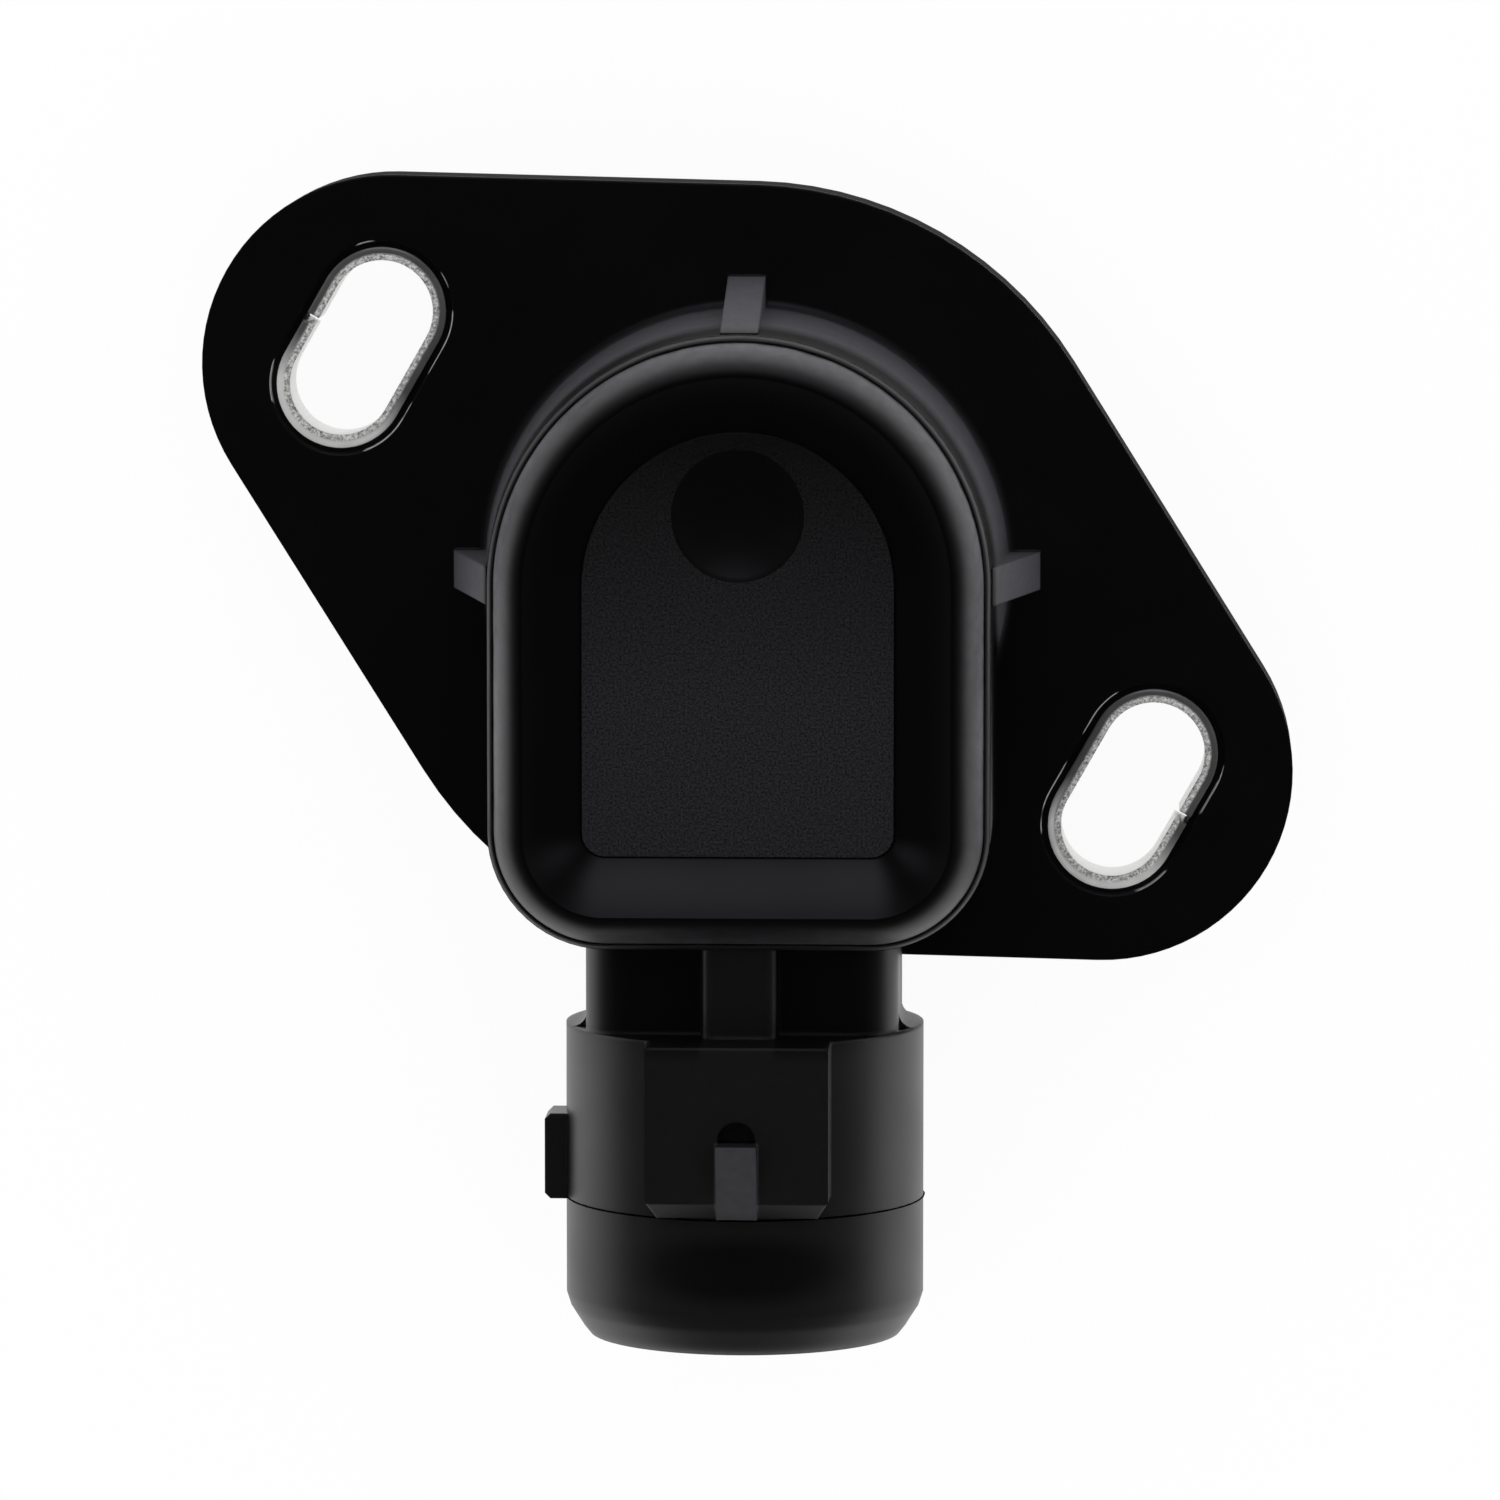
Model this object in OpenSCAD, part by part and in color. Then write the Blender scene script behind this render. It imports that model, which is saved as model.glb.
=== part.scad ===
// Throttle position sensor for a car engine's throttle body, sizes in millimetres.
// The origin is on the rotor's axis at the flange's back face. +Z points away from the
// throttle body, +X along the flange to the right, and the plug connector points to -Y.

/* [Flange] */
// Thickness of the flange
flange_t = 4; // [3:0.1:5]
// Radius of the flange round the rotor's axis
flange_mid_r = 20.65; // [19:0.05:23]
// Radius of the flange's two ends
flange_end_r = 10.2; // [9:0.05:12]
// How far the ends' centres lie inboard of the screws
flange_end_inset = 1.85; // [0:0.05:3]

/* [Screw slots] */
// Distance between the two screws
screw_span = 47.8; // [45:0.1:54]
// Slope of the line through the screws, seen from the front
screw_line_deg = -29.7; // [-40:0.1:-20]
// Width of the slot inside its bushing
screw_slot_w = 5.5; // [4.5:0.1:6]
// How far the sensor can be turned or shifted along the slot
screw_slot_travel = 4.5; // [3:0.1:5.5]
// Sheet thickness of the rolled bushings
bushing_t = 0.7; // [0.5:0.05:1.2]
// Width of the bushing's split
bushing_split = 0.45; // [0.3:0.05:1.5]
// Width and depth of the relief in the plastic round a bushing
bushing_relief = 0.35; // [0.1:0.05:0.6]

/* [Dome] */
// Half the width of the dome, and the radius of its round top
dome_half_w = 13.3; // [13:0.05:14.5]
// From the rotor's axis to the dome's flat bottom
dome_bottom = 19.25; // [18:0.05:21]
// Radius of the dome's two bottom corners
dome_corner_r = 6.3; // [5.6:0.1:7]
// Thickness of the dome's wall
wall_t = 2; // [1.6:0.1:2.2]
// Thickness of the floor behind the rotor
floor_t = 2; // [1.5:0.1:2.4]
// Height of the dome's wall, where the cover's joint lies
joint_z = 15.2; // [15:0.1:17]
// Radius of the round collar at the flange
collar_r = 14.1; // [13.9:0.05:14.6]
// Radius of the fillet at the collar's foot
collar_fillet = 0.5; // [0.2:0.05:0.9]

/* [Collar ribs] */
// Width of each rib
rib_w = 2; // [1.2:0.1:3]
// Distance of a rib's foot from the rotor's axis
rib_reach = 15.75; // [15.5:0.05:17.5]
// Height of the step at a rib's foot
rib_foot_h = 0.8; // [0.3:0.1:2]
// Height where a rib's slope runs out into the wall
rib_top_z = 14.6; // [10:0.1:14.8]

/* [Front cover] */
// Step in from the wall's outline to the cover's
cover_step = 0.35; // [0.15:0.05:0.6]
// Height of the rim above the cover's joint
rim_rise = 2.8; // [2.2:0.1:3.5]
// Width of the rim's outer rounding, which is as high as the rim
rim_round = 1.55; // [0.8:0.05:1.7]
// Width of the flat crest on the rim
rim_crest = 0.15; // [0.05:0.05:0.4]
// Width of the rim and the dish together, from the wall's outline to the panel
panel_inset = 5.05; // [4.2:0.05:5.2]
// Depth of the panel below the rim
panel_depth = 1.8; // [1.2:0.1:2]
// How much steeper the dish is at the rim than halfway down
dish_curve = 0.35; // [0:0.05:0.8]
// Height of the step round the panel
panel_step = 0.15; // [0.05:0.05:0.3]
// Thickness of the cover behind the panel
cover_t = 1.6; // [1.4:0.1:1.9]
// Radius of the round dimple
dimple_r = 3.5; // [2:0.1:4]
// Depth of the dimple
dimple_depth = 0.7; // [0.3:0.05:0.9]
// Height of the dimple's centre above the rotor's axis
dimple_y = 3.85; // [3:0.05:4.5]
// Thickness of the skirt that centres the cover in the wall
skirt_t = 1.2; // [0.8:0.1:1.4]
// Length of the skirt
skirt_len = 1.6; // [1:0.1:2.4]

/* [Connector] */
// Outer radius of the plug shroud
shroud_r = 9.6; // [9.2:0.05:10.4]
// Wall of the shroud
shroud_wall = 1.6; // [1.2:0.1:2]
// Height of the shroud's axis above the flange's back
shroud_z = 7; // [6.5:0.1:8.5]
// From the rotor's axis to the shroud's back face
shroud_start = 24.1; // [23.5:0.1:27]
// Length of the shroud
shroud_len = 16.8; // [15:0.1:20]
// Depth of the plug's cavity
cavity_depth = 14.4; // [12:0.1:15]
// Radial size of the rounded edge at the mouth
mouth_round = 1.25; // [0.5:0.05:1.4]
// Length of the rounded edge at the mouth
mouth_round_len = 2.2; // [0.8:0.1:3]
// Width of the neck between dome and shroud
neck_w = 16.7; // [14:0.1:18]
// Height of the neck
neck_h = 12; // [10:0.1:13]
// Radius of the neck's edges
neck_edge_r = 2.5; // [1:0.1:3.5]
// Radius of the fillets where the neck's sides meet the shroud
neck_fillet = 0.8; // [0.3:0.1:1]
// Width of the rib on the neck
neck_rib_w = 4; // [2:0.1:6]
// How far the rib stands above the neck
neck_rib_rise = 1.6; // [0.6:0.1:2.2]
// Radius of the rib's upper edges
neck_rib_edge_r = 0.7; // [0.3:0.05:1]

/* [Latch and key] */
// Width of the latch pad
pad_w = 9.7; // [8:0.1:12]
// Length of the latch pad
pad_len = 9.2; // [8.5:0.1:11]
// Height of the pad above the shroud's crown
pad_rise = 1.3; // [0.8:0.1:1.8]
// Width of the chamfers at the pad's two front corners
pad_chamfer = 0.6; // [0.2:0.05:1]
// Length of the same chamfers along the connector
pad_chamfer_len = 1; // [0.2:0.05:1.4]
// Size of the bevel along the pad's front edge
pad_bevel = 0.9; // [0.3:0.05:1.2]
// Width of the latch nub
nub_w = 2.15; // [1.5:0.05:3]
// Length of the nub's ramp
nub_len = 4.1; // [3:0.1:4.6]
// Height of the nub above the pad
nub_rise = 1.2; // [0.6:0.05:1.6]
// Radius of the round pit that the nub's back stands in
pit_r = 1; // [0.5:0.05:1.4]
// Depth of the pit
pit_depth = 1.2; // [0.4:0.05:1.4]
// Height of the key block beside the shroud
key_rise = 1.1; // [0.6:0.05:1.6]
// Width of the key block
key_w = 3; // [2:0.1:4]
// Length of the key block
key_len = 4.6; // [3:0.1:6]
// From the shroud's back face to the key block
key_start = 4.9; // [3:0.1:7]
// Size of the key block's chamfers
key_chamfer = 0.3; // [0.1:0.05:0.6]

/* [Terminals] */
// Width of a terminal's blade
pin_w = 1.5; // [1:0.1:2]
// Thickness of a terminal's blade
pin_t = 0.64; // [0.5:0.02:0.8]
// Distance from one terminal to the next
pin_pitch = 4; // [3.4:0.1:4.4]
// How far the blades stop short of the shroud's mouth
pin_recess = 5; // [3:0.1:6]
// Sheet thickness of the board's clips
clip_t = 0.25; // [0.15:0.01:0.3]
// Width of the board's clips
clip_w = 1.2; // [0.8:0.1:1.4]

/* [Spigot and seals] */
// Radius of the spigot that enters the throttle body
spigot_r = 12.5; // [12:0.05:13.5]
// Length of the spigot
spigot_len = 6; // [5.8:0.1:7]
// Size of the lead-in chamfer at the spigot's end
spigot_lead = 0.5; // [0.2:0.05:0.8]
// Depth of the relief in the flange's back round the spigot's root
root_relief = 0.4; // [0.2:0.05:0.8]
// Cross-section of the sealing ring
ring_d = 1.8; // [1.5:0.05:2]
// How far the ring stands out of its groove
ring_proud = 0.45; // [0.2:0.05:0.6]
// Distance of the groove from the flange's back
groove_at = 0.6; // [0.4:0.05:0.9]
// How far the shaft seal's pocket is wider than the bush's bore
seal_step = 1.2; // [0.9:0.05:1.4]
// Length of the shaft seal
seal_len = 2.4; // [1.8:0.05:2.5]
// Wall of the bearing bush
bush_t = 0.96; // [0.6:0.02:1.1]

/* [Rotor] */
// Wall of the rotor's hub round the throttle shaft's socket
hub_wall = 2.1; // [1.8:0.05:2.4]
// Length of the socket's round part
socket_len = 4; // [3:0.1:4.4]
// Width of the driving slot at the socket's bottom
drive_w = 3.2; // [2:0.1:4]
// Depth of the driving slot
drive_depth = 3.5; // [2:0.1:4]
// How far the hub stops short of the spigot's end
hub_recess = 1; // [0.5:0.05:1.2]
// Running clearance at the hub and the front pivot
running_fit = 0.04; // [0.02:0.01:0.08]
// Thickness of the rotor's disc
disc_t = 1.8; // [1.4:0.05:2]
// Radius of the rotor's front pivot
pivot_r = 1.8; // [1.4:0.05:2]
// Angle of the wiper's middle with the throttle closed
wiper_deg = 35; // [25:1:45]
// How far the rotor turns from stop to stop
travel_deg = 100; // [80:1:105]

/* [Inside] */
// Thickness of the track board
board_t = 1; // [0.8:0.05:1.2]
// Width of the ledge under the track board
ledge_w = 1.1; // [0.8:0.05:1.3]
// Thickness of the thrust washer
washer_t = 0.3; // [0.2:0.05:0.5]
// Wire of the return spring
spring_d = 0.7; // [0.5:0.05:0.8]
// Turns of the return spring
spring_turns = 3.6; // [2.6:0.1:4.2]
// From the spring's outside to the chamber's wall
spring_room = 1.45; // [1.2:0.05:1.8]
// From the rotor's shoulder to the spring's inside
spring_slack = 0.65; // [0.4:0.05:0.9]
// Sheet thickness of the wiper
wiper_t = 0.2; // [0.15:0.01:0.25]
// Thickness of the printed tracks
track_t = 0.05; // [0.03:0.01:0.08]

/* [Hidden] */
$fn = 64;

// A small length by which one shape reaches into another that it joins or cuts
bite = 0.5;
// Loose clearance between inner pieces that are only placed, not fitted
loose = 0.2;

// Heights inside the dome
spring_gap = 0.35;
shoulder_z = floor_t + washer_t;
spring_low_z = shoulder_z + spring_d / 2 + spring_gap;
disc_z = floor_t + 4.6;
disc_top_z = disc_z + disc_t;
board_z = disc_top_z + 1.9;
board_top_z = board_z + board_t;
rim_z = joint_z + rim_rise;
panel_z = rim_z - panel_depth;
cover_under_z = panel_z - cover_t;
cover_boss_z = cover_under_z - 1.9;
boss_top_z = cover_boss_z - 0.8;
pivot_top_z = cover_under_z - 0.6;

// Radii inside the dome
chamber_half_w = dome_half_w - wall_t;
chamber_r = chamber_half_w - ledge_w;
disc_r = chamber_r - 0.9;
spring_r = chamber_r - spring_room - spring_d / 2;
shoulder_r = spring_r - spring_d / 2 - spring_slack;
bush_r = shoulder_r - loose;
hub_r = bush_r - bush_t - running_fit;
socket_r = hub_r - hub_wall;
seal_r = bush_r + seal_step;
boss_r = pivot_r + 1.4;
board_hole_r = boss_r + 0.6;

// The two tracks share the ring between the board's hole and the disc's edge
track_room = disc_r - board_hole_r;
track_w = 0.29 * track_room;
inner_track_r = board_hole_r + 0.38 * track_room;
outer_track_r = board_hole_r + 0.82 * track_room;
// Angle below the middle where a track's arc ends and its straight run begins
track_end_deg = 45;

// The stakes that hold the wiper, on both sides of its middle
stake_deg = 19;
stake_at_r = (outer_track_r + inner_track_r) / 2 + 0.2;
stake_r = 0.6;
stake_head_h = 0.4;

// Where the return spring ends, and the holes for its two legs
spring_end_deg = 360 * spring_turns;
leg_hole_r = spring_d / 2 + 0.1;
leg_hole_h = 1.2;

// The travel stop's lug, seen from the front
lug_half_deg = 9;
lug_deg = wiper_deg + 180;
lug_r = chamber_r - loose;
stop_half_deg = 8;
stop_gap_deg = 0.4;

// The sealing ring's groove, and the room left round the free ring
groove_w = ring_d + 0.5;
ring_room = 0.35;
groove_r = spigot_r + ring_proud - ring_d;

// Where the terminals and the clips stand
pin_leg_y = -dome_bottom + wall_t + 2.4;
board_edge_y = pin_leg_y + 1.8;
pin_top_z = board_top_z + 1.3;
well_half_w = pin_pitch + 1.6;
pad_back_y = board_edge_y + 1.9;

// The connector's lengths and heights
shroud_end_y = -shroud_start - shroud_len;
pad_end_y = -shroud_start - pad_len;
pad_top_z = shroud_z + shroud_r + pad_rise;
nub_back_y = pad_end_y + nub_len;

function arc(center, r, from, to, steps) =
    [for (i = [0 : steps]) let (a = from + (to - from) * i / steps) center + r * [cos(a), sin(a)]];

// The dome's outline moved in by a distance: a half circle over straight sides and round corners
module dome_outline(inset) {
    w = dome_half_w - inset;
    low = dome_bottom - inset;
    corner = dome_corner_r - inset;
    circle(r = w);
    translate([-w, corner - low]) square([2 * w, low - corner]);
    translate([corner - w, -low]) square([2 * (w - corner), low]);
    for (side = [-1, 1]) translate([side * (w - corner), corner - low]) circle(r = corner);
}

// The same outline as a ring of points, for the cover's rounded rim
function dome_ring(inset, z) =
    let (w = dome_half_w - inset, low = dome_bottom - inset, corner = dome_corner_r - inset)
    [for (p = concat(arc([0, 0], w, 0, 180, 36),
        arc([corner - w, corner - low], corner, 180, 270, 12),
        arc([w - corner, corner - low], corner, 270, 360, 12))) [p[0], p[1], z]];

// The flange's outline: two ends and the middle, joined by their common tangents
module flange_outline() {
    end_at = screw_span / 2 - flange_end_inset;
    lean = acos((flange_mid_r - flange_end_r) / end_at);
    rotate(screw_line_deg) polygon(concat(
        arc([end_at, 0], flange_end_r, -lean, lean, 28),
        arc([0, 0], flange_mid_r, lean, 180 - lean, 14),
        arc([-end_at, 0], flange_end_r, 180 - lean, 180 + lean, 28),
        arc([0, 0], flange_mid_r, 180 + lean, 360 - lean, 14)));
}

// A slot with round ends, lying across the line of the screws
module slot_outline(half_w) {
    for (side = [-1, 1]) translate([0, side * screw_slot_travel / 2]) circle(r = half_w);
    square([2 * half_w, screw_slot_travel], center = true);
}

module at_screw(end) {
    rotate(screw_line_deg + 180 * end) translate([screw_span / 2, 0]) children();
}

// Places a shape drawn upwards so that it points out along the connector
module along_connector(start) {
    translate([0, -start, shroud_z]) rotate([90, 0, 0]) children();
}

// A wedge of the plane between two angles
module wedge(from, to, r) {
    polygon([[0, 0], r * [cos(from), sin(from)], r * [cos(to), sin(to)]]);
}

module terminal_form(index) {
    x = (index - 1) * pin_pitch;
    tip_y = shroud_end_y + pin_recess;
    taper = 1.2;
    translate([x, 0, shroud_z - pin_t / 2]) linear_extrude(pin_t)
        polygon([[-pin_w / 2, pin_leg_y], [-pin_w / 2, tip_y + taper], [-pin_w / 6, tip_y],
            [pin_w / 6, tip_y], [pin_w / 2, tip_y + taper], [pin_w / 2, pin_leg_y]]);
    translate([x - pin_w / 2, pin_leg_y - pin_t, shroud_z - pin_t / 2])
        cube([pin_w, pin_t, pin_top_z - shroud_z + pin_t / 2]);
}

// A cone round the dome's foot that ends in a fillet on the flange
module collar() {
    inner = dome_half_w - 1;
    top_z = joint_z - bite;
    rotate_extrude() polygon(concat(
        [[inner, top_z], [inner, flange_t - bite], [collar_r + collar_fillet, flange_t - bite]],
        arc([collar_r + collar_fillet, flange_t + collar_fillet], collar_fillet, 270, 180, 6),
        [[dome_half_w - 0.1, top_z]]));
}

// A rib that slopes from a low step on the flange up to the dome's wall
module collar_rib() {
    inner = dome_half_w - 1;
    rotate([90, 0, 0]) linear_extrude(rib_w, center = true)
        polygon([[inner, flange_t - bite], [rib_reach, flange_t - bite], [rib_reach, flange_t + rib_foot_h],
            [dome_half_w + 0.08, rib_top_z], [inner, rib_top_z]]);
}

module neck() {
    half_w = neck_w / 2 - neck_edge_r;
    half_h = neck_h / 2 - neck_edge_r;
    low = dome_bottom - wall_t;
    reach = shroud_start - low + bite;
    along_connector(low) linear_extrude(reach) {
        for (x = [-half_w, half_w], y = [-half_h, half_h]) translate([x, y]) circle(r = neck_edge_r);
        square([neck_w, 2 * half_h], center = true);
        square([2 * half_w, neck_h], center = true);
    }
    along_connector(low) linear_extrude(reach) {
        rib_top = neck_h / 2 + neck_rib_rise;
        edge_x = neck_rib_w / 2 - neck_rib_edge_r;
        for (x = [-edge_x, edge_x]) translate([x, rib_top - neck_rib_edge_r]) circle(r = neck_rib_edge_r);
        translate([-neck_rib_w / 2, 0]) square([neck_rib_w, rib_top - neck_rib_edge_r]);
        translate([-edge_x, 0]) square([2 * edge_x, rib_top]);
    }
    for (side = [-1, 1]) neck_side_fillet(side);
}

// Concave fillet along the flat of the neck's side, in the corner at the shroud
module neck_side_fillet(side) {
    foot_x = neck_w / 2 + neck_fillet;
    in_x = neck_w / 2 - bite;
    flat_h = neck_h - 2 * neck_edge_r - 2 * neck_fillet;
    outline = concat(arc([foot_x, neck_fillet - shroud_start], neck_fillet, 180, 270, 6),
        [[foot_x, -shroud_start - bite], [in_x, -shroud_start - bite], [in_x, neck_fillet - shroud_start]]);
    translate([0, 0, shroud_z - flat_h / 2]) linear_extrude(flat_h)
        polygon([for (p = outline) [side * p[0], p[1]]]);
}

module shroud() {
    along_connector(shroud_start) rotate_extrude() polygon([[0, 0], [shroud_r, 0],
        [shroud_r, shroud_len - mouth_round_len],
        [shroud_r - 0.18 * mouth_round, shroud_len - 0.68 * mouth_round_len],
        [shroud_r - 0.72 * mouth_round, shroud_len - 0.2 * mouth_round_len],
        [shroud_r - mouth_round, shroud_len], [0, shroud_len]]);
}

module latch_pad() {
    difference() {
        translate([0, 0, shroud_z]) linear_extrude(pad_top_z - shroud_z)
            polygon([[-pad_w / 2, -shroud_start], [-pad_w / 2, pad_end_y + pad_chamfer_len],
                [pad_chamfer - pad_w / 2, pad_end_y], [pad_w / 2 - pad_chamfer, pad_end_y],
                [pad_w / 2, pad_end_y + pad_chamfer_len], [pad_w / 2, -shroud_start]]);
        translate([0, nub_back_y + 0.15, pad_top_z - pit_depth]) cylinder(r = pit_r, h = pit_depth + bite);
        translate([-pad_w / 2 - bite, 0, 0]) rotate([90, 0, 90]) linear_extrude(pad_w + 2 * bite)
            polygon([[pad_end_y - bite, pad_top_z - pad_bevel - bite], [pad_end_y - bite, pad_top_z + bite],
                [pad_end_y + pad_bevel + bite, pad_top_z + bite]]);
    }
    translate([-nub_w / 2, 0, 0]) rotate([90, 0, 90]) linear_extrude(nub_w)
        polygon([[nub_back_y, pad_top_z - pit_depth - 0.1], [nub_back_y, pad_top_z + nub_rise],
            [nub_back_y - 0.15, pad_top_z + nub_rise], [pad_end_y, pad_top_z - 0.35],
            [pad_end_y, pad_top_z - pit_depth - 0.1]]);
}

module key_block() {
    back_y = -shroud_start - key_start;
    out_x = -shroud_r - key_rise;
    in_x = -shroud_r + shroud_wall / 2;
    translate([0, 0, shroud_z - key_w / 2]) linear_extrude(key_w)
        polygon([[in_x, back_y], [out_x + key_chamfer, back_y], [out_x, back_y - key_chamfer],
            [out_x, back_y - key_len + key_chamfer], [out_x + key_chamfer, back_y - key_len],
            [in_x, back_y - key_len]]);
}

module housing_outside() {
    linear_extrude(flange_t) {
        flange_outline();
        dome_outline(0);
    }
    translate([0, 0, flange_t - bite]) linear_extrude(joint_z - flange_t + bite) dome_outline(0);
    collar();
    for (turn = [0, 90, 180]) rotate(turn) collar_rib();
    neck();
    shroud();
    latch_pad();
    key_block();
    translate([0, 0, spigot_lead - spigot_len]) cylinder(r = spigot_r, h = spigot_len - spigot_lead + bite);
    translate([0, 0, -spigot_len]) cylinder(r1 = spigot_r - spigot_lead, r2 = spigot_r, h = spigot_lead);
}

module housing_inside() {
    // Upper chamber for the cover's skirt and the board
    translate([0, 0, board_z]) linear_extrude(joint_z - board_z + bite) dome_outline(wall_t);
    // Round chamber for the rotor, less the two stops
    difference() {
        translate([0, 0, floor_t]) cylinder(r = chamber_r, h = board_z - floor_t + bite);
        for (end = [0, 1])
            translate([0, 0, floor_t - bite]) linear_extrude(board_z - floor_t + bite) difference() {
                wedge(stop_from(end), stop_from(end) + 2 * stop_half_deg, chamber_r + 2);
                circle(r = disc_r + loose);
            }
    }
    // Well for the terminals' legs
    well_len = dome_bottom - wall_t - loose - inner_track_r;
    translate([-well_half_w, wall_t - dome_bottom + loose, shroud_z - pin_t])
        cube([2 * well_half_w, well_len, board_z - shroud_z + pin_t + bite]);
    // Bores for the bush and the shaft seal
    translate([0, 0, seal_len - spigot_len]) cylinder(r = bush_r, h = spigot_len + floor_t + bite);
    translate([0, 0, -spigot_len - bite]) cylinder(r = seal_r, h = seal_len + bite + loose);
    // Hole for the spring's lower leg
    translate([spring_r, 0, floor_t - leg_hole_h]) cylinder(r = leg_hole_r, h = leg_hole_h + bite);
    // Cavity of the plug connector
    along_connector(shroud_start + shroud_len - cavity_depth)
        cylinder(r = shroud_r - shroud_wall, h = cavity_depth + bite);
    // Groove of the sealing ring
    translate([0, 0, -groove_at - groove_w]) difference() {
        cylinder(r = spigot_r + bite, h = groove_w);
        cylinder(r = groove_r, h = groove_w);
    }
    // Relief round the spigot's root, wider than the free ring
    translate([0, 0, -bite]) difference() {
        cylinder(r = spigot_r + ring_proud + ring_room, h = root_relief + bite);
        cylinder(r = spigot_r, h = root_relief + bite);
    }
    // Screw slots and the relief round their bushings
    for (end = [0, 1]) at_screw(end) {
        translate([0, 0, -bite]) linear_extrude(flange_t + 2 * bite)
            slot_outline(screw_slot_w / 2 + bushing_t);
        translate([0, 0, flange_t - bushing_relief]) linear_extrude(bushing_relief + bite)
            slot_outline(screw_slot_w / 2 + bushing_t + bushing_relief);
    }
}

// Angle where a stop begins: one ends at the closed lug, the other begins past the open one
function stop_from(end) = end == 0
    ? lug_deg - lug_half_deg - stop_gap_deg - 2 * stop_half_deg
    : lug_deg + travel_deg + lug_half_deg + stop_gap_deg;

module housing() {
    color("#17171a") difference() {
        housing_outside();
        housing_inside();
        for (index = [0 : 2]) terminal_form(index);
    }
}

// Height of the cover's rim and dish at each distance in from the wall's outline
function rim_profile() =
    let (crest_in = cover_step + rim_round + rim_crest, dish_w = panel_inset - crest_in,
        dish_z = panel_z - panel_step, dish_h = rim_z - dish_z)
    concat(
        [for (i = [0 : 10]) let (a = 9 * i)
            [cover_step + rim_round * (1 - cos(a)), joint_z + rim_rise * sin(a)]],
        [for (i = [0 : 7]) let (t = 1 - i / 7)
            [panel_inset - dish_w * t, dish_z + dish_h * t * (1 - dish_curve + dish_curve * t)]],
        [[panel_inset, panel_z]]);

module cover_shell() {
    profile = rim_profile();
    rings = [for (p = profile) dome_ring(p[0], p[1])];
    n = len(rings[0]);
    levels = len(rings);
    points = [for (ring = rings) each ring];
    sides = [for (k = [0 : levels - 2], i = [0 : n - 1])
        let (j = (i + 1) % n) [k * n + i, (k + 1) * n + i, (k + 1) * n + j, k * n + j]];
    base = [for (i = [0 : n - 1]) i];
    top = [for (i = [n - 1 : -1 : 0]) (levels - 1) * n + i];
    polyhedron(points = points, faces = concat(sides, [base], [top]), convexity = 4);
}

module front_cover() {
    dimple_sphere_r = (dimple_r * dimple_r + dimple_depth * dimple_depth) / (2 * dimple_depth);
    post_r = 0.9;
    post_in = chamber_half_w - loose - skirt_t - post_r;
    low_post_y = -8;
    high_post_deg = 35;
    post_at = [for (side = [-1, 1])
        each [[side * (post_in - post_r), low_post_y],
            post_in * [side * cos(high_post_deg), sin(high_post_deg)]]];
    color("#1c1c20") {
        difference() {
            union() {
                cover_shell();
                translate([0, 0, joint_z - skirt_len]) linear_extrude(skirt_len + bite)
                    dome_outline(wall_t + loose / 2);
            }
            translate([0, 0, joint_z - skirt_len - bite])
                linear_extrude(cover_under_z - joint_z + skirt_len + bite)
                dome_outline(wall_t + loose / 2 + skirt_t);
            translate([0, dimple_y, panel_z + dimple_sphere_r - dimple_depth]) sphere(r = dimple_sphere_r);
        }
        // Socket of the rotor's front pivot
        difference() {
            translate([0, 0, cover_boss_z]) cylinder(r = boss_r, h = cover_under_z - cover_boss_z + bite);
            translate([0, 0, cover_boss_z - bite])
                cylinder(r = pivot_r + running_fit, h = pivot_top_z + loose - cover_boss_z + bite);
        }
        // Posts that hold the board down
        for (p = post_at) translate([p[0], p[1], board_top_z])
            cylinder(r = post_r, h = cover_under_z - board_top_z + bite);
    }
}

module bushing(end) {
    color("#c9c9c6") at_screw(end) linear_extrude(flange_t) difference() {
        slot_outline(screw_slot_w / 2 + bushing_t);
        slot_outline(screw_slot_w / 2);
        translate([screw_slot_w / 2 - bite, -bushing_split / 2])
            square([bushing_t + 2 * bite, bushing_split]);
    }
}

module bushing_left() { bushing(1); }

module bushing_right() { bushing(0); }

module terminal_left() { color("#b9b4a4") terminal_form(0); }

module terminal_center() { color("#b9b4a4") terminal_form(1); }

module terminal_right() { color("#b9b4a4") terminal_form(2); }

// A clip grips the board's edge and turns up along its terminal's leg
module clip(index) {
    low_z = board_z - track_t;
    rise = 1.2;
    color("#c8a860") translate([(index - 1) * pin_pitch - clip_w / 2, 0, 0]) {
        translate([0, board_edge_y - clip_t, low_z - clip_t])
            cube([clip_w, clip_t, board_top_z - low_z + 2 * clip_t]);
        translate([0, board_edge_y - clip_t, low_z - clip_t]) cube([clip_w, 1.9, clip_t]);
        translate([0, pin_leg_y, board_top_z]) cube([clip_w, pad_back_y - pin_leg_y, clip_t]);
        translate([0, pin_leg_y, board_top_z]) cube([clip_w, clip_t, rise]);
    }
}

module clip_left() { clip(0); }

module clip_center() { clip(1); }

module clip_right() { clip(2); }

module track_board() {
    half_w = chamber_half_w - loose;
    color("#d8d4c4") translate([0, 0, board_z]) linear_extrude(board_t) difference() {
        union() {
            circle(r = half_w);
            translate([-half_w, board_edge_y]) square([2 * half_w, -board_edge_y]);
        }
        circle(r = board_hole_r);
        translate([-half_w, board_edge_y - half_w]) square([2 * half_w, half_w]);
    }
}

// A printed arc with straight runs to its contacts, on the board's back
module track_arc(r, from, to) {
    rotate(from) rotate_extrude(angle = to - from) translate([r - track_w / 2, board_z - track_t])
        square([track_w, track_t]);
}

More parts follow.
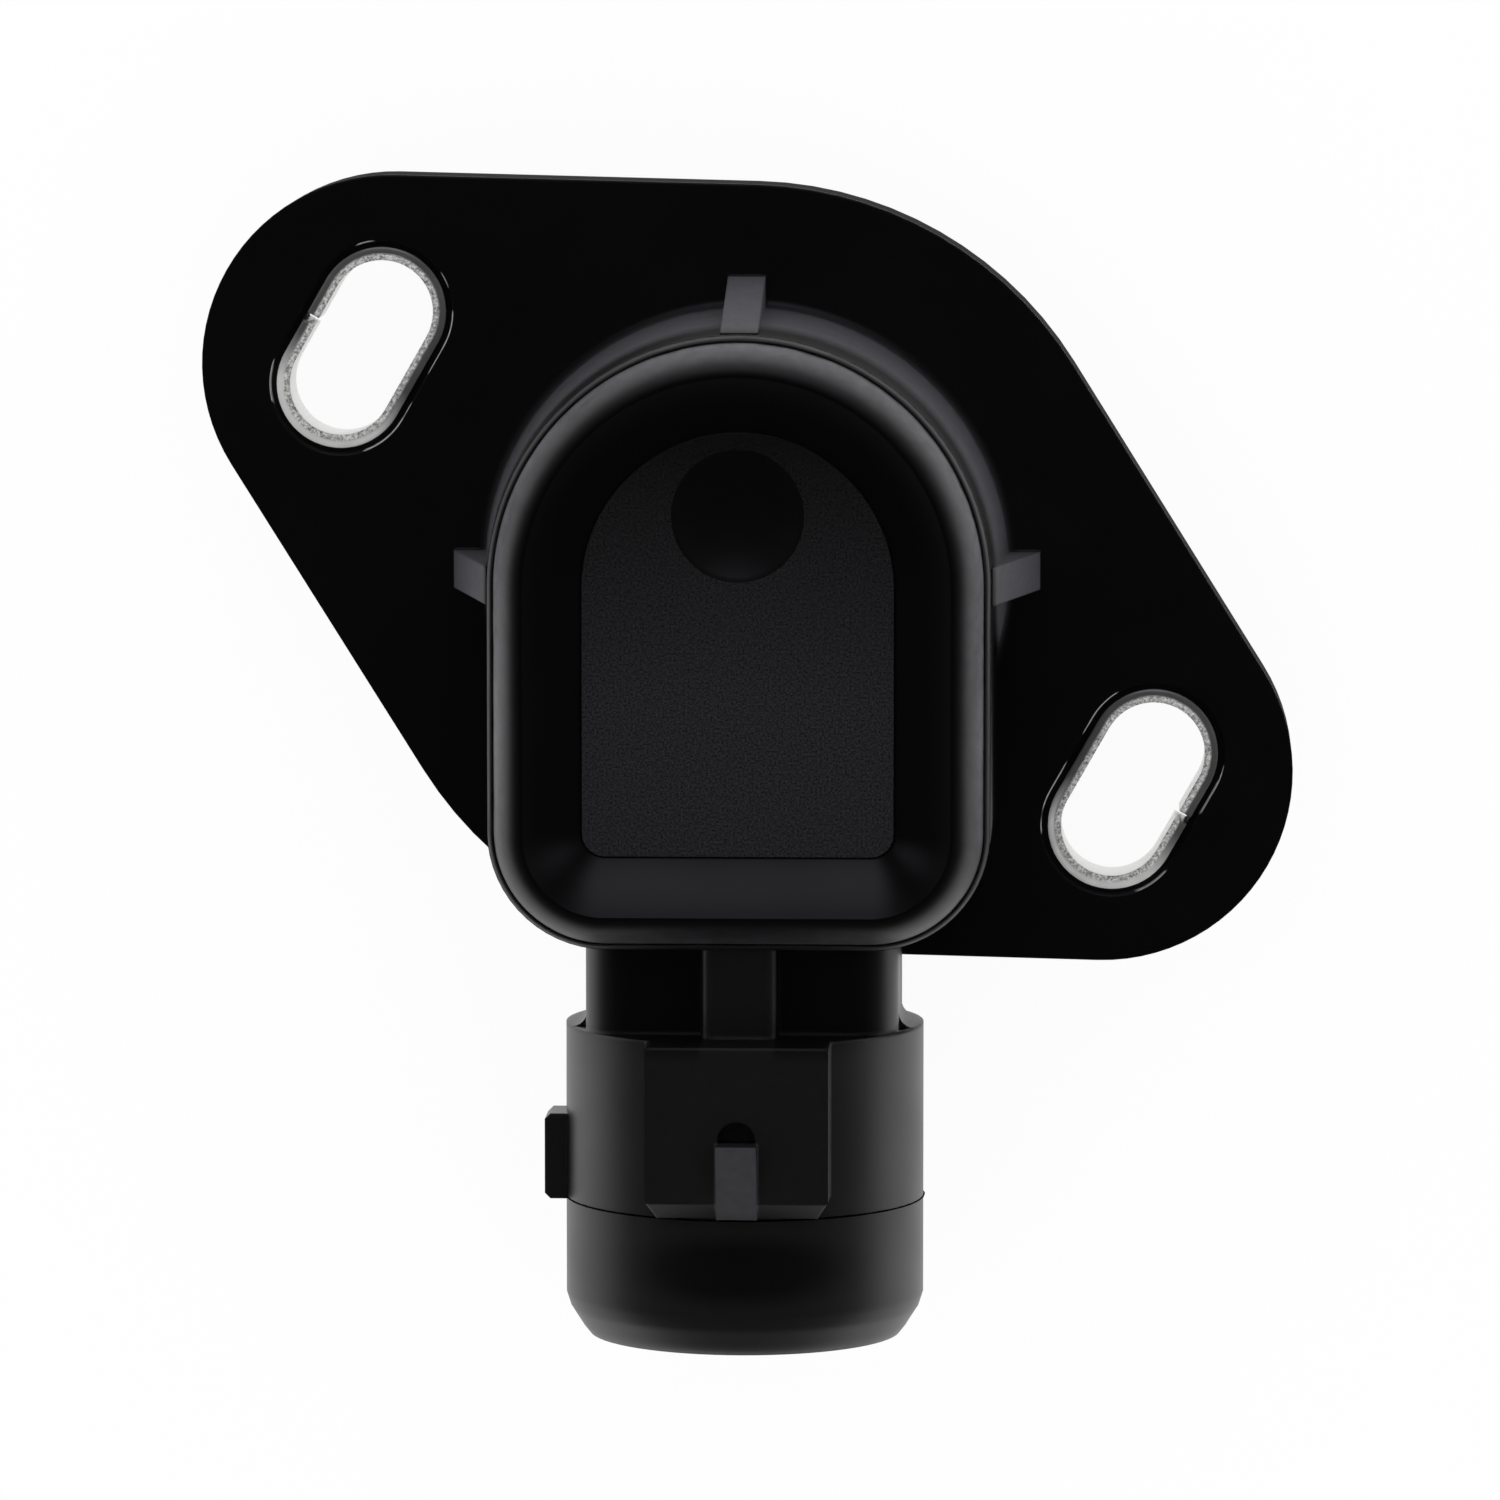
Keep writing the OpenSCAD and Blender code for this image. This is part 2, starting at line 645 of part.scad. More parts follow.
function track_end(r, side) = r * [side * cos(track_end_deg), -sin(track_end_deg)];

module track_run(from, to) {
    run = to - from;
    translate([from[0], from[1], board_z - track_t]) rotate(atan2(run[1], run[0]))
        translate([-0.3, -0.4, 0]) cube([norm(run) + 0.6, 0.8, track_t]);
}

module track_pad(index) {
    translate([(index - 1) * pin_pitch - 0.8, board_edge_y, board_z - track_t])
        cube([1.6, pad_back_y - board_edge_y, track_t]);
}

module resistor_track() {
    color("#2b2b2b") {
        track_arc(outer_track_r, -track_end_deg, 180 + track_end_deg);
        for (side = [-1, 1]) track_run(track_end(outer_track_r, side), [side * pin_pitch, pad_back_y]);
        track_pad(0);
        track_pad(2);
    }
}

module collector_track() {
    color("#8f8f8a") {
        track_arc(inner_track_r, 0, 180 + track_end_deg);
        track_run(track_end(inner_track_r, -1), [0, pad_back_y]);
        track_pad(1);
    }
}

module rotor() {
    hub_end_z = hub_recess - spigot_len;
    color("#e6e1d2") {
        difference() {
            union() {
                translate([0, 0, hub_end_z]) cylinder(r = hub_r, h = shoulder_z - hub_end_z + bite);
                translate([0, 0, shoulder_z]) cylinder(r = shoulder_r, h = disc_z - shoulder_z + bite);
                translate([0, 0, disc_z]) cylinder(r = disc_r, h = disc_t);
                translate([0, 0, disc_z]) linear_extrude(disc_t) intersection() {
                    circle(r = lug_r);
                    wedge(lug_deg - lug_half_deg, lug_deg + lug_half_deg, 2 * lug_r);
                }
            }
            translate([0, 0, hub_end_z - bite]) cylinder(r = socket_r, h = socket_len + bite);
            translate([-socket_r + 0.3, -drive_w / 2, hub_end_z])
                cube([2 * socket_r - 0.6, drive_w, socket_len + drive_depth]);
            // Hole for the spring's upper leg
            rotate(spring_end_deg) translate([spring_r, 0, disc_z - bite])
                cylinder(r = leg_hole_r, h = leg_hole_h + bite);
        }
        translate([0, 0, disc_top_z - bite]) cylinder(r = boss_r, h = boss_top_z - disc_top_z + bite);
        translate([0, 0, boss_top_z - bite]) cylinder(r = pivot_r, h = pivot_top_z - boss_top_z + bite);
        // Stakes through the wiper, with their melted heads
        for (side = [-1, 1]) rotate(wiper_deg + side * stake_deg) translate([stake_at_r, 0, 0]) {
            translate([0, 0, disc_top_z - bite])
                cylinder(r = stake_r, h = wiper_t + stake_head_h + bite, $fn = 32);
            translate([0, 0, disc_top_z + wiper_t])
                cylinder(r = stake_r + 0.35, h = stake_head_h, $fn = 32);
        }
    }
}

// Sheet spring with three fingers on each track
module wiper() {
    half_deg = 28;
    finger_w = 0.36;
    finger_len = 3.2;
    finger_pitch = 0.31 * track_w;
    finger_root_y = -1.3;
    tip_r = 0.2;
    lift_deg = asin((board_z - track_t - disc_top_z - 2 * wiper_t - 0.15) / finger_len);
    window_x = inner_track_r - track_w / 2 - 0.1;
    color("#d9b26a") rotate(wiper_deg) {
        translate([0, 0, disc_top_z]) linear_extrude(wiper_t) difference() {
            intersection() {
                difference() {
                    circle(r = disc_r - 0.3);
                    circle(r = boss_r + 0.4);
                }
                wedge(-half_deg, half_deg, 2 * disc_r);
            }
            for (side = [-1, 1]) rotate(side * stake_deg) translate([stake_at_r, 0])
                circle(r = stake_r + 0.02, $fn = 32);
            translate([window_x, finger_root_y + 0.3]) square([disc_r, 2.4]);
        }
        for (track = [inner_track_r, outer_track_r], k = [-1 : 1])
            translate([track + k * finger_pitch - finger_w / 2, finger_root_y, disc_top_z])
                rotate([lift_deg, 0, 0]) {
                    cube([finger_w, finger_len, wiper_t]);
                    translate([0, finger_len - tip_r, wiper_t]) rotate([0, 90, 0])
                        cylinder(r = tip_r, h = finger_w, $fn = 24);
                }
    }
}

// Torsion spring round the hub: a helix with one leg down into the floor and one up into the disc
module return_spring() {
    low = spring_low_z;
    high = disc_z - spring_d / 2 - spring_gap;
    leg_in = leg_hole_h - 0.1;
    steps = round(spring_turns * 20);
    path = concat([[0, floor_t - leg_in], [0, low - 0.3]],
        [for (i = [1 : steps - 1]) [spring_end_deg * i / steps, low + (high - low) * i / steps]],
        [[spring_end_deg, high + 0.3], [spring_end_deg, disc_z + leg_in]]);
    points = [for (p = path) spring_r * [cos(p[0]), sin(p[0]), 0] + [0, 0, p[1]]];
    last = len(path) - 1;
    sides = 8;
    ring = [for (i = [0 : last])
        let (ahead = points[min(i + 1, last)] - points[max(i - 1, 0)], t = ahead / norm(ahead),
            out = [cos(path[i][0]), sin(path[i][0]), 0], across = cross(t, out))
        each [for (k = [0 : sides - 1]) let (a = 360 * k / sides)
            points[i] + spring_d / 2 * (cos(a) * out + sin(a) * across)]];
    color("#9a9a9e") polyhedron(points = ring, faces = concat(
        [[for (k = [sides - 1 : -1 : 0]) k]],
        [for (i = [0 : last - 1], k = [0 : sides - 1]) let (j = (k + 1) % sides)
            [i * sides + k, i * sides + j, (i + 1) * sides + j, (i + 1) * sides + k]],
        [[for (k = [0 : sides - 1]) last * sides + k]]), convexity = 8);
}

module thrust_washer() {
    color("#f0ead8") translate([0, 0, floor_t]) difference() {
        cylinder(r = shoulder_r, h = washer_t);
        translate([0, 0, -bite]) cylinder(r = hub_r + 0.1, h = washer_t + 2 * bite);
    }
}

// Dished washer between the rotor's front shoulder and the cover
module spring_washer() {
    sheet = 0.22;
    inner = pivot_r + 0.15;
    outer = boss_r - 0.1;
    color("#b8b8bc") rotate_extrude()
        polygon([[inner, boss_top_z], [outer, cover_boss_z - sheet], [outer, cover_boss_z],
            [inner, boss_top_z + sheet]]);
}

module bearing_bush() {
    color("#b08d57") translate([0, 0, seal_len + loose - spigot_len]) difference() {
        cylinder(r = bush_r, h = floor_t + spigot_len - seal_len - loose);
        translate([0, 0, -bite]) cylinder(r = hub_r + running_fit, h = floor_t + spigot_len + bite);
    }
}

// Rubber seal pressed in the spigot, with a lip that runs on the hub
module shaft_seal() {
    low = -spigot_len + loose;
    high = -spigot_len + seal_len + loose;
    lip = hub_r + running_fit;
    rubber = 0.7;
    color("#101012") rotate_extrude()
        polygon([[seal_r, low], [seal_r, high], [lip + rubber, high], [lip, low + 0.8],
            [lip, low + 0.4], [lip + 0.5, low + 0.4], [lip + rubber + 0.2, high - rubber],
            [seal_r - rubber, high - rubber], [seal_r - rubber, low]]);
}

module o_ring() {
    color("#0c0c0e") translate([0, 0, -groove_at - groove_w / 2])
        rotate_extrude() translate([groove_r + ring_d / 2, 0]) circle(r = ring_d / 2, $fn = 32);
}

housing();
front_cover();
bushing_left();
bushing_right();
terminal_left();
terminal_center();
terminal_right();
clip_left();
clip_center();
clip_right();
track_board();
resistor_track();
collector_track();
rotor();
wiper();
return_spring();
thrust_washer();
spring_washer();
bearing_bush();
shaft_seal();
o_ring();
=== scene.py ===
"""Looks of a throttle position sensor: its moulded, rolled, drawn and printed finishes, on a white floor.

Blender's units are metres. Sizes below are in millimetres, and MM turns them into metres.
"""

import math
import random

import bpy
from mathutils import Matrix, Vector


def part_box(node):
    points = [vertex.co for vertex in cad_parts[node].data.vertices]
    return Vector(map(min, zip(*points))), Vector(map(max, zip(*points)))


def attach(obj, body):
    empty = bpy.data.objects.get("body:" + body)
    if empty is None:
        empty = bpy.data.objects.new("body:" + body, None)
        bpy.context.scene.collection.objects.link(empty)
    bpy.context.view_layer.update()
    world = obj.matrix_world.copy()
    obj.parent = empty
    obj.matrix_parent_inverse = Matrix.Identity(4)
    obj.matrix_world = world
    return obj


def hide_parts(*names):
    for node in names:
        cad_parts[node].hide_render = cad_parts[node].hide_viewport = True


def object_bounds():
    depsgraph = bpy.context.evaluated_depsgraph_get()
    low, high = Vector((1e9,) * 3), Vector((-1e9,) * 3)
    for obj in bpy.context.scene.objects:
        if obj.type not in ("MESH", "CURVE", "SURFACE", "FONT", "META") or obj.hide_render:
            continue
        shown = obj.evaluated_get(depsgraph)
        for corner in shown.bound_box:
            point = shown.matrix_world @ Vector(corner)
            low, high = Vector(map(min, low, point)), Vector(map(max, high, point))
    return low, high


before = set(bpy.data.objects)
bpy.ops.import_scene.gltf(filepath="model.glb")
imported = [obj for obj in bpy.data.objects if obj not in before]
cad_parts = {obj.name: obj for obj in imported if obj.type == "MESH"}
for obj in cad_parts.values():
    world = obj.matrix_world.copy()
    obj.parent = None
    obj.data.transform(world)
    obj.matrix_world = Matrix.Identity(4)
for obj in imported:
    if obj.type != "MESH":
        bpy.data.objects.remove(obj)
cad_low, cad_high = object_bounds()

MM = 0.001

# The photograph's frame is square, and the camera is matched to it
PHOTO_PIXELS = 1500
FOCAL_PIXELS = 9800
SENSOR_MM = 36.0
CAMERA_DISTANCE = 530
CAMERA_TARGET = (0.06, -10.03, 2.0)
CAMERA_LEAN_X_DEG = 2.4
CAMERA_LEAN_Y_DEG = 6.2

# The front cover, measured inwards from its own outline
COVER_CORNER_R = 5.95
RIM_RISE = 2.8
RIM_ROUND = 1.55
RIM_CREST = 0.15
PANEL_INSET = 4.7
PANEL_DEPTH = 1.8
PANEL_STEP = 0.15
DISH_CURVE = 0.35
DIMPLE_R = 3.5
DIMPLE_DEPTH = 0.7
DIMPLE_Y = 3.85
COVER_T = 1.6
SKIRT_INSET = 1.75
SKIRT_T = 1.2
SKIRT_LEN = 1.6
BOSS_R = 3.2
BOSS_LEN = 1.9
PIVOT_R = 1.84
PIVOT_DEPTH = 1.5
POST_R = 0.9
POST_GAP = 0.1
POST_LOW_Y = -8
POST_HIGH_DEG = 35
BOARD_TOP_Z = 11.3

# The screw slots, and the middle line between a bushing's inner and outer edge
SCREW_SPAN = 47.8
SCREW_LINE_DEG = -29.7
SLOT_TRAVEL = 4.5
BUSHING_MIDDLE_R = 3.1
# The line of painted highlight round each slot
SLOT_HIGHLIGHT_R = 3.8

# The flange, the collar from the dome's wall out, and the wall's edge beside the cover's foot
FLANGE_T = 4.0
COLLAR_FROM_R = 13.5
WALL_STEP = 0.35
BEAD_H = 0.36

# How far the housing's edges are rounded: in general, on the neck, and from the shroud's mouth back
EDGE_R = 0.22
NECK_EDGE_R = 0.47
MOUTH_EDGE_R = 0.7
MOUTH_LEN = 3.0

# The plug shroud, its mouth, its latch and the mould's parting line round it
SHROUD_R = 9.6
SHROUD_Z = 7.0
SHROUD_END_Y = cad_low.y / MM
PAD_TOP_Z = 17.9
PAD_END_Y = -33.3
NECK_Y = (-18.3, -24.4)
NECK_RIB_W = 4
NUB_W = 2.15
NUB_BACK_Y = -29.2
# Where the shroud's painted light fades to a spot of painted shade, and the spot's half sizes
DARK_SPOT = (0.1, -36.2)
DARK_SPOT_HALF = (6.0, 1.7)
PARTING_H = 0.08

# The panels that gloss shows: azimuth from +Y and elevation, inner and outer radius in degrees, and level
PANELS = ((0, 34, 8, 28, 0.5), (70, 30, 3, 14, 0.3), (-70, 30, 3, 14, 0.3))


def linear(code):
    """An sRGB hex colour as the linear RGBA that a shader socket takes."""
    values = [int(code[i : i + 2], 16) / 255 for i in (1, 3, 5)]
    return [v / 12.92 if v <= 0.04045 else ((v + 0.055) / 1.055) ** 2.4 for v in values] + [1.0]


def socket(sockets, key):
    """The socket with a number, or the one in use with a name."""
    if isinstance(key, int):
        return sockets[key]
    return next(one for one in sockets if one.enabled and one.name == key)


def add(tree, kind, settings=None, links=None):
    """Adds a node. A setting is an attribute or an input's value, and a link feeds an input from a node."""
    node = tree.nodes.new(kind)
    for name, value in (settings or {}).items():
        if isinstance(name, str) and hasattr(node, name):
            setattr(node, name, value)
        else:
            socket(node.inputs, name).default_value = value
    for name, source in (links or {}).items():
        if isinstance(source, bpy.types.Node):
            source = next(one for one in source.outputs if one.enabled)
        tree.links.new(source, socket(node.inputs, name))
    return node


def new_material(name):
    """A material, its tree, and the point's place on its piece in metres, which turns with the rotor."""
    material = bpy.data.materials.new(name)
    material.use_nodes = True
    tree = material.node_tree
    tree.nodes.clear()
    return material, tree, add(tree, "ShaderNodeTexCoord").outputs["Object"]


def zone(tree, *limits):
    """A mask from 0 to 1 over a part of the piece.

    Each limit holds a length, and at how many millimetres of it the zone begins and is full.
    """
    mask = None
    for length, begins, full in limits:
        within = add(tree, "ShaderNodeMapRange", {"From Min": begins * MM, "From Max": full * MM},
                     {"Value": length})
        if mask is not None:
            within = add(tree, "ShaderNodeMath", {"operation": "MULTIPLY"}, {0: mask, 1: within})
        mask = within
    return mask


def moulded_plastic(name, dark, light, rough, grain_mm, grain_depth_mm, edge_mm, ior=1.6):
    """Moulded plastic with a fine grain, a slow drift of gloss and rounded edges.

    The mould's surface shows as grain, and the filler as a faint mottle of the colour. An edge_mm above 0
    rounds every edge by that radius, as a mould does.
    """
    material, tree, place = new_material(name)
    mottle = add(tree, "ShaderNodeTexNoise", {"Scale": 0.3 / MM, "Detail": 4.0}, {"Vector": place})
    drift = add(tree, "ShaderNodeTexNoise", {"Scale": 0.12 / MM, "Detail": 2.0}, {"Vector": place})
    grain = add(tree, "ShaderNodeTexNoise", {"Scale": 1 / (grain_mm * MM), "Detail": 2.0},
                {"Vector": place})
    skin = {"Height": grain}
    if edge_mm:
        skin["Normal"] = add(tree, "ShaderNodeBevel", {"samples": 8, "Radius": edge_mm * MM})
    bump = add(tree, "ShaderNodeBump", {"Distance": grain_depth_mm * MM}, skin)
    colour = add(tree, "ShaderNodeMix", {"data_type": "RGBA", "A": linear(dark), "B": linear(light)},
                 {"Factor": mottle})
    gloss = add(tree, "ShaderNodeMapRange",
                {"From Min": 0.35, "From Max": 0.65, "To Min": rough - 0.03, "To Max": rough + 0.03},
                {"Value": drift})
    shader = add(tree, "ShaderNodeBsdfPrincipled", {"IOR": ior},
                 {"Base Color": colour, "Roughness": gloss, "Normal": bump})
    add(tree, "ShaderNodeOutputMaterial", links={"Surface": shader})
    return material


def sheet_metal(name, dark, light, rough, streak, streak_depth_mm):
    """Metal with streaks from its making. streak is the pattern's stretch along x, y and z."""
    material, tree, place = new_material(name)
    along = add(tree, "ShaderNodeMapping", {"Scale": streak}, {"Vector": place})
    streaks = add(tree, "ShaderNodeTexNoise", {"Scale": 1 / MM, "Detail": 5.0, "Roughness": 0.6},
                  {"Vector": along})
    bump = add(tree, "ShaderNodeBump", {"Distance": streak_depth_mm * MM}, {"Height": streaks})
    level = add(tree, "ShaderNodeMapRange", {"From Min": 0.3, "From Max": 0.7}, {"Value": streaks})
    colour = add(tree, "ShaderNodeMix", {"data_type": "RGBA", "A": linear(dark), "B": linear(light)},
                 {"Factor": level})
    gloss = add(tree, "ShaderNodeMapRange", {"To Min": rough - 0.06, "To Max": rough + 0.08},
                {"Value": level})
    shader = add(tree, "ShaderNodeBsdfPrincipled", {"Metallic": 1.0},
                 {"Base Color": colour, "Roughness": gloss, "Normal": bump})
    add(tree, "ShaderNodeOutputMaterial", links={"Surface": shader})
    return material


def give(material, *nodes):
    for name in nodes:
        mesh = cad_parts[name].data
        mesh.materials.clear()
        mesh.materials.append(material)


def beyond_slots(tree, place):
    """The distance from a screw slot's middle line, and the place turned to have x along the screws."""
    turned = add(tree, "ShaderNodeVectorRotate",
                 {"rotation_type": "Z_AXIS", "Angle": math.radians(-SCREW_LINE_DEG)}, {"Vector": place})
    both_sides = add(tree, "ShaderNodeVectorMath", {"operation": "ABSOLUTE"}, {0: turned})
    slot_end = (SCREW_SPAN / 2 * MM, SLOT_TRAVEL / 2 * MM, 0)
    from_ends = add(tree, "ShaderNodeVectorMath", {"operation": "SUBTRACT", 1: slot_end}, {0: both_sides})
    parts = add(tree, "ShaderNodeSeparateXYZ", links={"Vector": from_ends})
    past_end = add(tree, "ShaderNodeMath", {"operation": "MAXIMUM", 1: 0.0}, {0: parts.outputs["Y"]})
    across = add(tree, "ShaderNodeCombineXYZ", links={"X": parts.outputs["X"], "Y": past_end})
    return add(tree, "ShaderNodeVectorMath", {"operation": "LENGTH"}, {0: across}), turned


def upright(tree):
    """1 on faces that stand along the rotor's axis and 0 on flat ones."""
    normal = add(tree, "ShaderNodeTexCoord").outputs["Normal"]
    facing = add(tree, "ShaderNodeSeparateXYZ", links={"Vector": normal})
    flatness = add(tree, "ShaderNodeMath", {"operation": "ABSOLUTE"}, {0: facing.outputs["Z"]})
    return add(tree, "ShaderNodeMapRange", {"From Min": 0.6, "From Max": 0.3}, {"Value": flatness})


def from_axis(tree, place):
    """The distance from the rotor's axis or, below it, from the middle: the same all along the dome's wall.

    The first node lifts y to 0 below the axis, and its -1 m is too low to change x and z.
    """
    above = add(tree, "ShaderNodeVectorMath", {"operation": "MAXIMUM", 1: (-1, 0, -1)}, {0: place})
    flat = add(tree, "ShaderNodeVectorMath", {"operation": "MULTIPLY", 1: (1, 1, 0)}, {0: above})
    return add(tree, "ShaderNodeVectorMath", {"operation": "LENGTH"}, {0: flat})


def plug_painted_light(tree, place, aside, y):
    """A mask of painted light on the plug shroud and neck's rib, faint in an oval spot of painted shade."""
    on_plug = zone(tree, (y, NECK_Y[1] + 0.5, NECK_Y[1] - 0.5))
    on_rib = zone(tree, (aside, NECK_RIB_W / 2, NECK_RIB_W / 2 - 0.1), (y, NECK_Y[0], NECK_Y[0] - 0.3))
    pale = add(tree, "ShaderNodeMath", {"operation": "MAXIMUM"}, {0: on_plug, 1: on_rib})
    spot_x, spot_y = DARK_SPOT
    half_x, half_y = DARK_SPOT_HALF
    from_spot = add(tree, "ShaderNodeVectorMath",
                    {"operation": "MULTIPLY_ADD", 1: (1 / (half_x * MM), 1 / (half_y * MM), 0),
                     2: (-spot_x / half_x, -spot_y / half_y, 0)}, {0: place})
    spot_r = add(tree, "ShaderNodeVectorMath", {"operation": "LENGTH"}, {0: from_spot})
    off_spot = add(tree, "ShaderNodeMapRange", {"From Min": 0.7, "From Max": 1.3, "To Min": 0.1},
                   {"Value": spot_r})
    return add(tree, "ShaderNodeMath", {"operation": "MULTIPLY"}, {0: pale, 1: off_spot})


def slot_painted_highlight(tree, place):
    """A mask of thin lines of painted highlight round the screw slots, kept only here and there."""
    away = beyond_slots(tree, place)[0]
    from_line = add(tree, "ShaderNodeMath", {"operation": "SUBTRACT", 1: SLOT_HIGHLIGHT_R * MM}, {0: away})
    off_line = add(tree, "ShaderNodeMath", {"operation": "ABSOLUTE"}, {0: from_line})
    patches = add(tree, "ShaderNodeTexNoise", {"Scale": 0.35 / MM, "Detail": 1.0}, {"Vector": place})
    kept = add(tree, "ShaderNodeMapRange", {"From Min": 0.53, "From Max": 0.57}, {"Value": patches})
    return add(tree, "ShaderNodeMath", {"operation": "MULTIPLY"},
               {0: zone(tree, (off_line, 0.05, 0.02)), 1: kept})


def housing_skin(tree, place, y):
    """The housing's grain over its edges, which are rounder at the shroud's mouth and on the neck."""
    mouth_y = SHROUD_END_Y + MOUTH_LEN
    mouth = zone(tree, (y, mouth_y + 0.2, mouth_y - 0.2))
    neck = zone(tree, (y, NECK_Y[0], NECK_Y[0] - 0.3), (y, NECK_Y[1], NECK_Y[1] + 0.3))
    edge = add(tree, "ShaderNodeMapRange", {"To Min": EDGE_R * MM, "To Max": MOUTH_EDGE_R * MM},
               {"Value": mouth})
    edge = add(tree, "ShaderNodeMix", {"B": NECK_EDGE_R * MM}, {"Factor": neck, "A": edge})
    rounded = add(tree, "ShaderNodeBevel", {"samples": 8}, {"Radius": edge})
    grain = add(tree, "ShaderNodeTexNoise", {"Scale": 1 / (0.16 * MM), "Detail": 2.0}, {"Vector": place})
    return add(tree, "ShaderNodeBump", {"Distance": 0.0015 * MM}, {"Height": grain, "Normal": rounded})


def dress_housing():
    """Glass-filled polyester from a smooth mould: near black and satin, with soft bright edges.

    The collar and its ribs are rougher, and painted grey: a painted light for the light that their rough
    faces catch. The flange's side is matt, and a low IOR cuts its reflection: a painted shade. The neck's
    rib and the plug shroud are painted paler, a painted light, with one darker spot of painted shade.
    The latch's ramp is coloured grey, and thin lines of painted highlight lie round the screw slots in
    bits.
    """
    material, tree, place = new_material("moulded_glass_filled_polyester")
    parts = add(tree, "ShaderNodeSeparateXYZ", links={"Vector": place})
    x, y, z = (parts.outputs[axis] for axis in "XYZ")
    aside = add(tree, "ShaderNodeMath", {"operation": "ABSOLUTE"}, {0: x})
    radius = from_axis(tree, place)
    # The collar and its ribs: rougher, and painted grey as a painted light for the light their rough faces
    # catch
    collar = zone(tree, (radius, COLLAR_FROM_R - 0.1, COLLAR_FROM_R + 0.1),
                  (z, FLANGE_T + 0.1, FLANGE_T + 0.9))
    # The flange's side: beside the plug shroud, between the flange's two faces, and standing upright
    side = zone(tree, (radius, SHROUD_R + 0.05, SHROUD_R + 0.15), (z, FLANGE_T - 0.1, FLANGE_T - 0.3),
                (z, 0.1, 0.2))
    side = add(tree, "ShaderNodeMath", {"operation": "MULTIPLY"}, {0: side, 1: upright(tree)})
    ramp = zone(tree, (aside, NUB_W / 2 + 0.15, NUB_W / 2 - 0.05),
                (y, NUB_BACK_Y + 0.05, NUB_BACK_Y - 0.05), (z, PAD_TOP_Z - 0.7, PAD_TOP_Z - 0.2))

    mottle = add(tree, "ShaderNodeTexNoise", {"Scale": 0.3 / MM, "Detail": 4.0}, {"Vector": place})
    colour = add(tree, "ShaderNodeMix",
                 {"data_type": "RGBA", "A": linear("#040405"), "B": linear("#060608")}, {"Factor": mottle})
    marks = add(tree, "ShaderNodeTexNoise", {"Scale": 2 / MM, "Detail": 5.0}, {"Vector": place})
    specks = add(tree, "ShaderNodeMapRange", {"From Min": 0.3, "From Max": 0.7, "To Min": 0.8},
                 {"Value": marks})
    # Colours over the near black: painted light on the plug and rib, with a spot of painted shade; painted
    # light on the collar; the ramp's grey; painted highlights round the slots; the side's matt grey
    shades = ((plug_painted_light(tree, place, aside, y), "#131315"), (collar, "#504f55"), (ramp, "#38373c"),
              (slot_painted_highlight(tree, place), "#b8b8bc"), (side, "#1c1c1e"))
    for mask, shade in shades:
        speckled = add(tree, "ShaderNodeMath", {"operation": "MULTIPLY"}, {0: mask, 1: specks})
        colour = add(tree, "ShaderNodeMix", {"data_type": "RGBA", "B": linear(shade)},
                     {"Factor": speckled, "A": colour})
    drift = add(tree, "ShaderNodeTexNoise", {"Scale": 0.12 / MM, "Detail": 2.0}, {"Vector": place})
    gloss = add(tree, "ShaderNodeMapRange",
                {"From Min": 0.35, "From Max": 0.65, "To Min": 0.39, "To Max": 0.45}, {"Value": drift})
    for mask in (collar, side):
        gloss = add(tree, "ShaderNodeMix", {"B": 0.65}, {"Factor": mask, "A": gloss})
    # The low IOR cuts the side's reflection: a painted shade for the shaded floor it would reflect; it is
    # rough too
    ior = add(tree, "ShaderNodeMapRange", {"To Min": 1.6, "To Max": 1.08}, {"Value": side})
    shader = add(tree, "ShaderNodeBsdfPrincipled", links={
        "Base Color": colour, "Roughness": gloss, "IOR": ior, "Normal": housing_skin(tree, place, y)})
    add(tree, "ShaderNodeOutputMaterial", links={"Surface": shader})
    give(material, "housing")


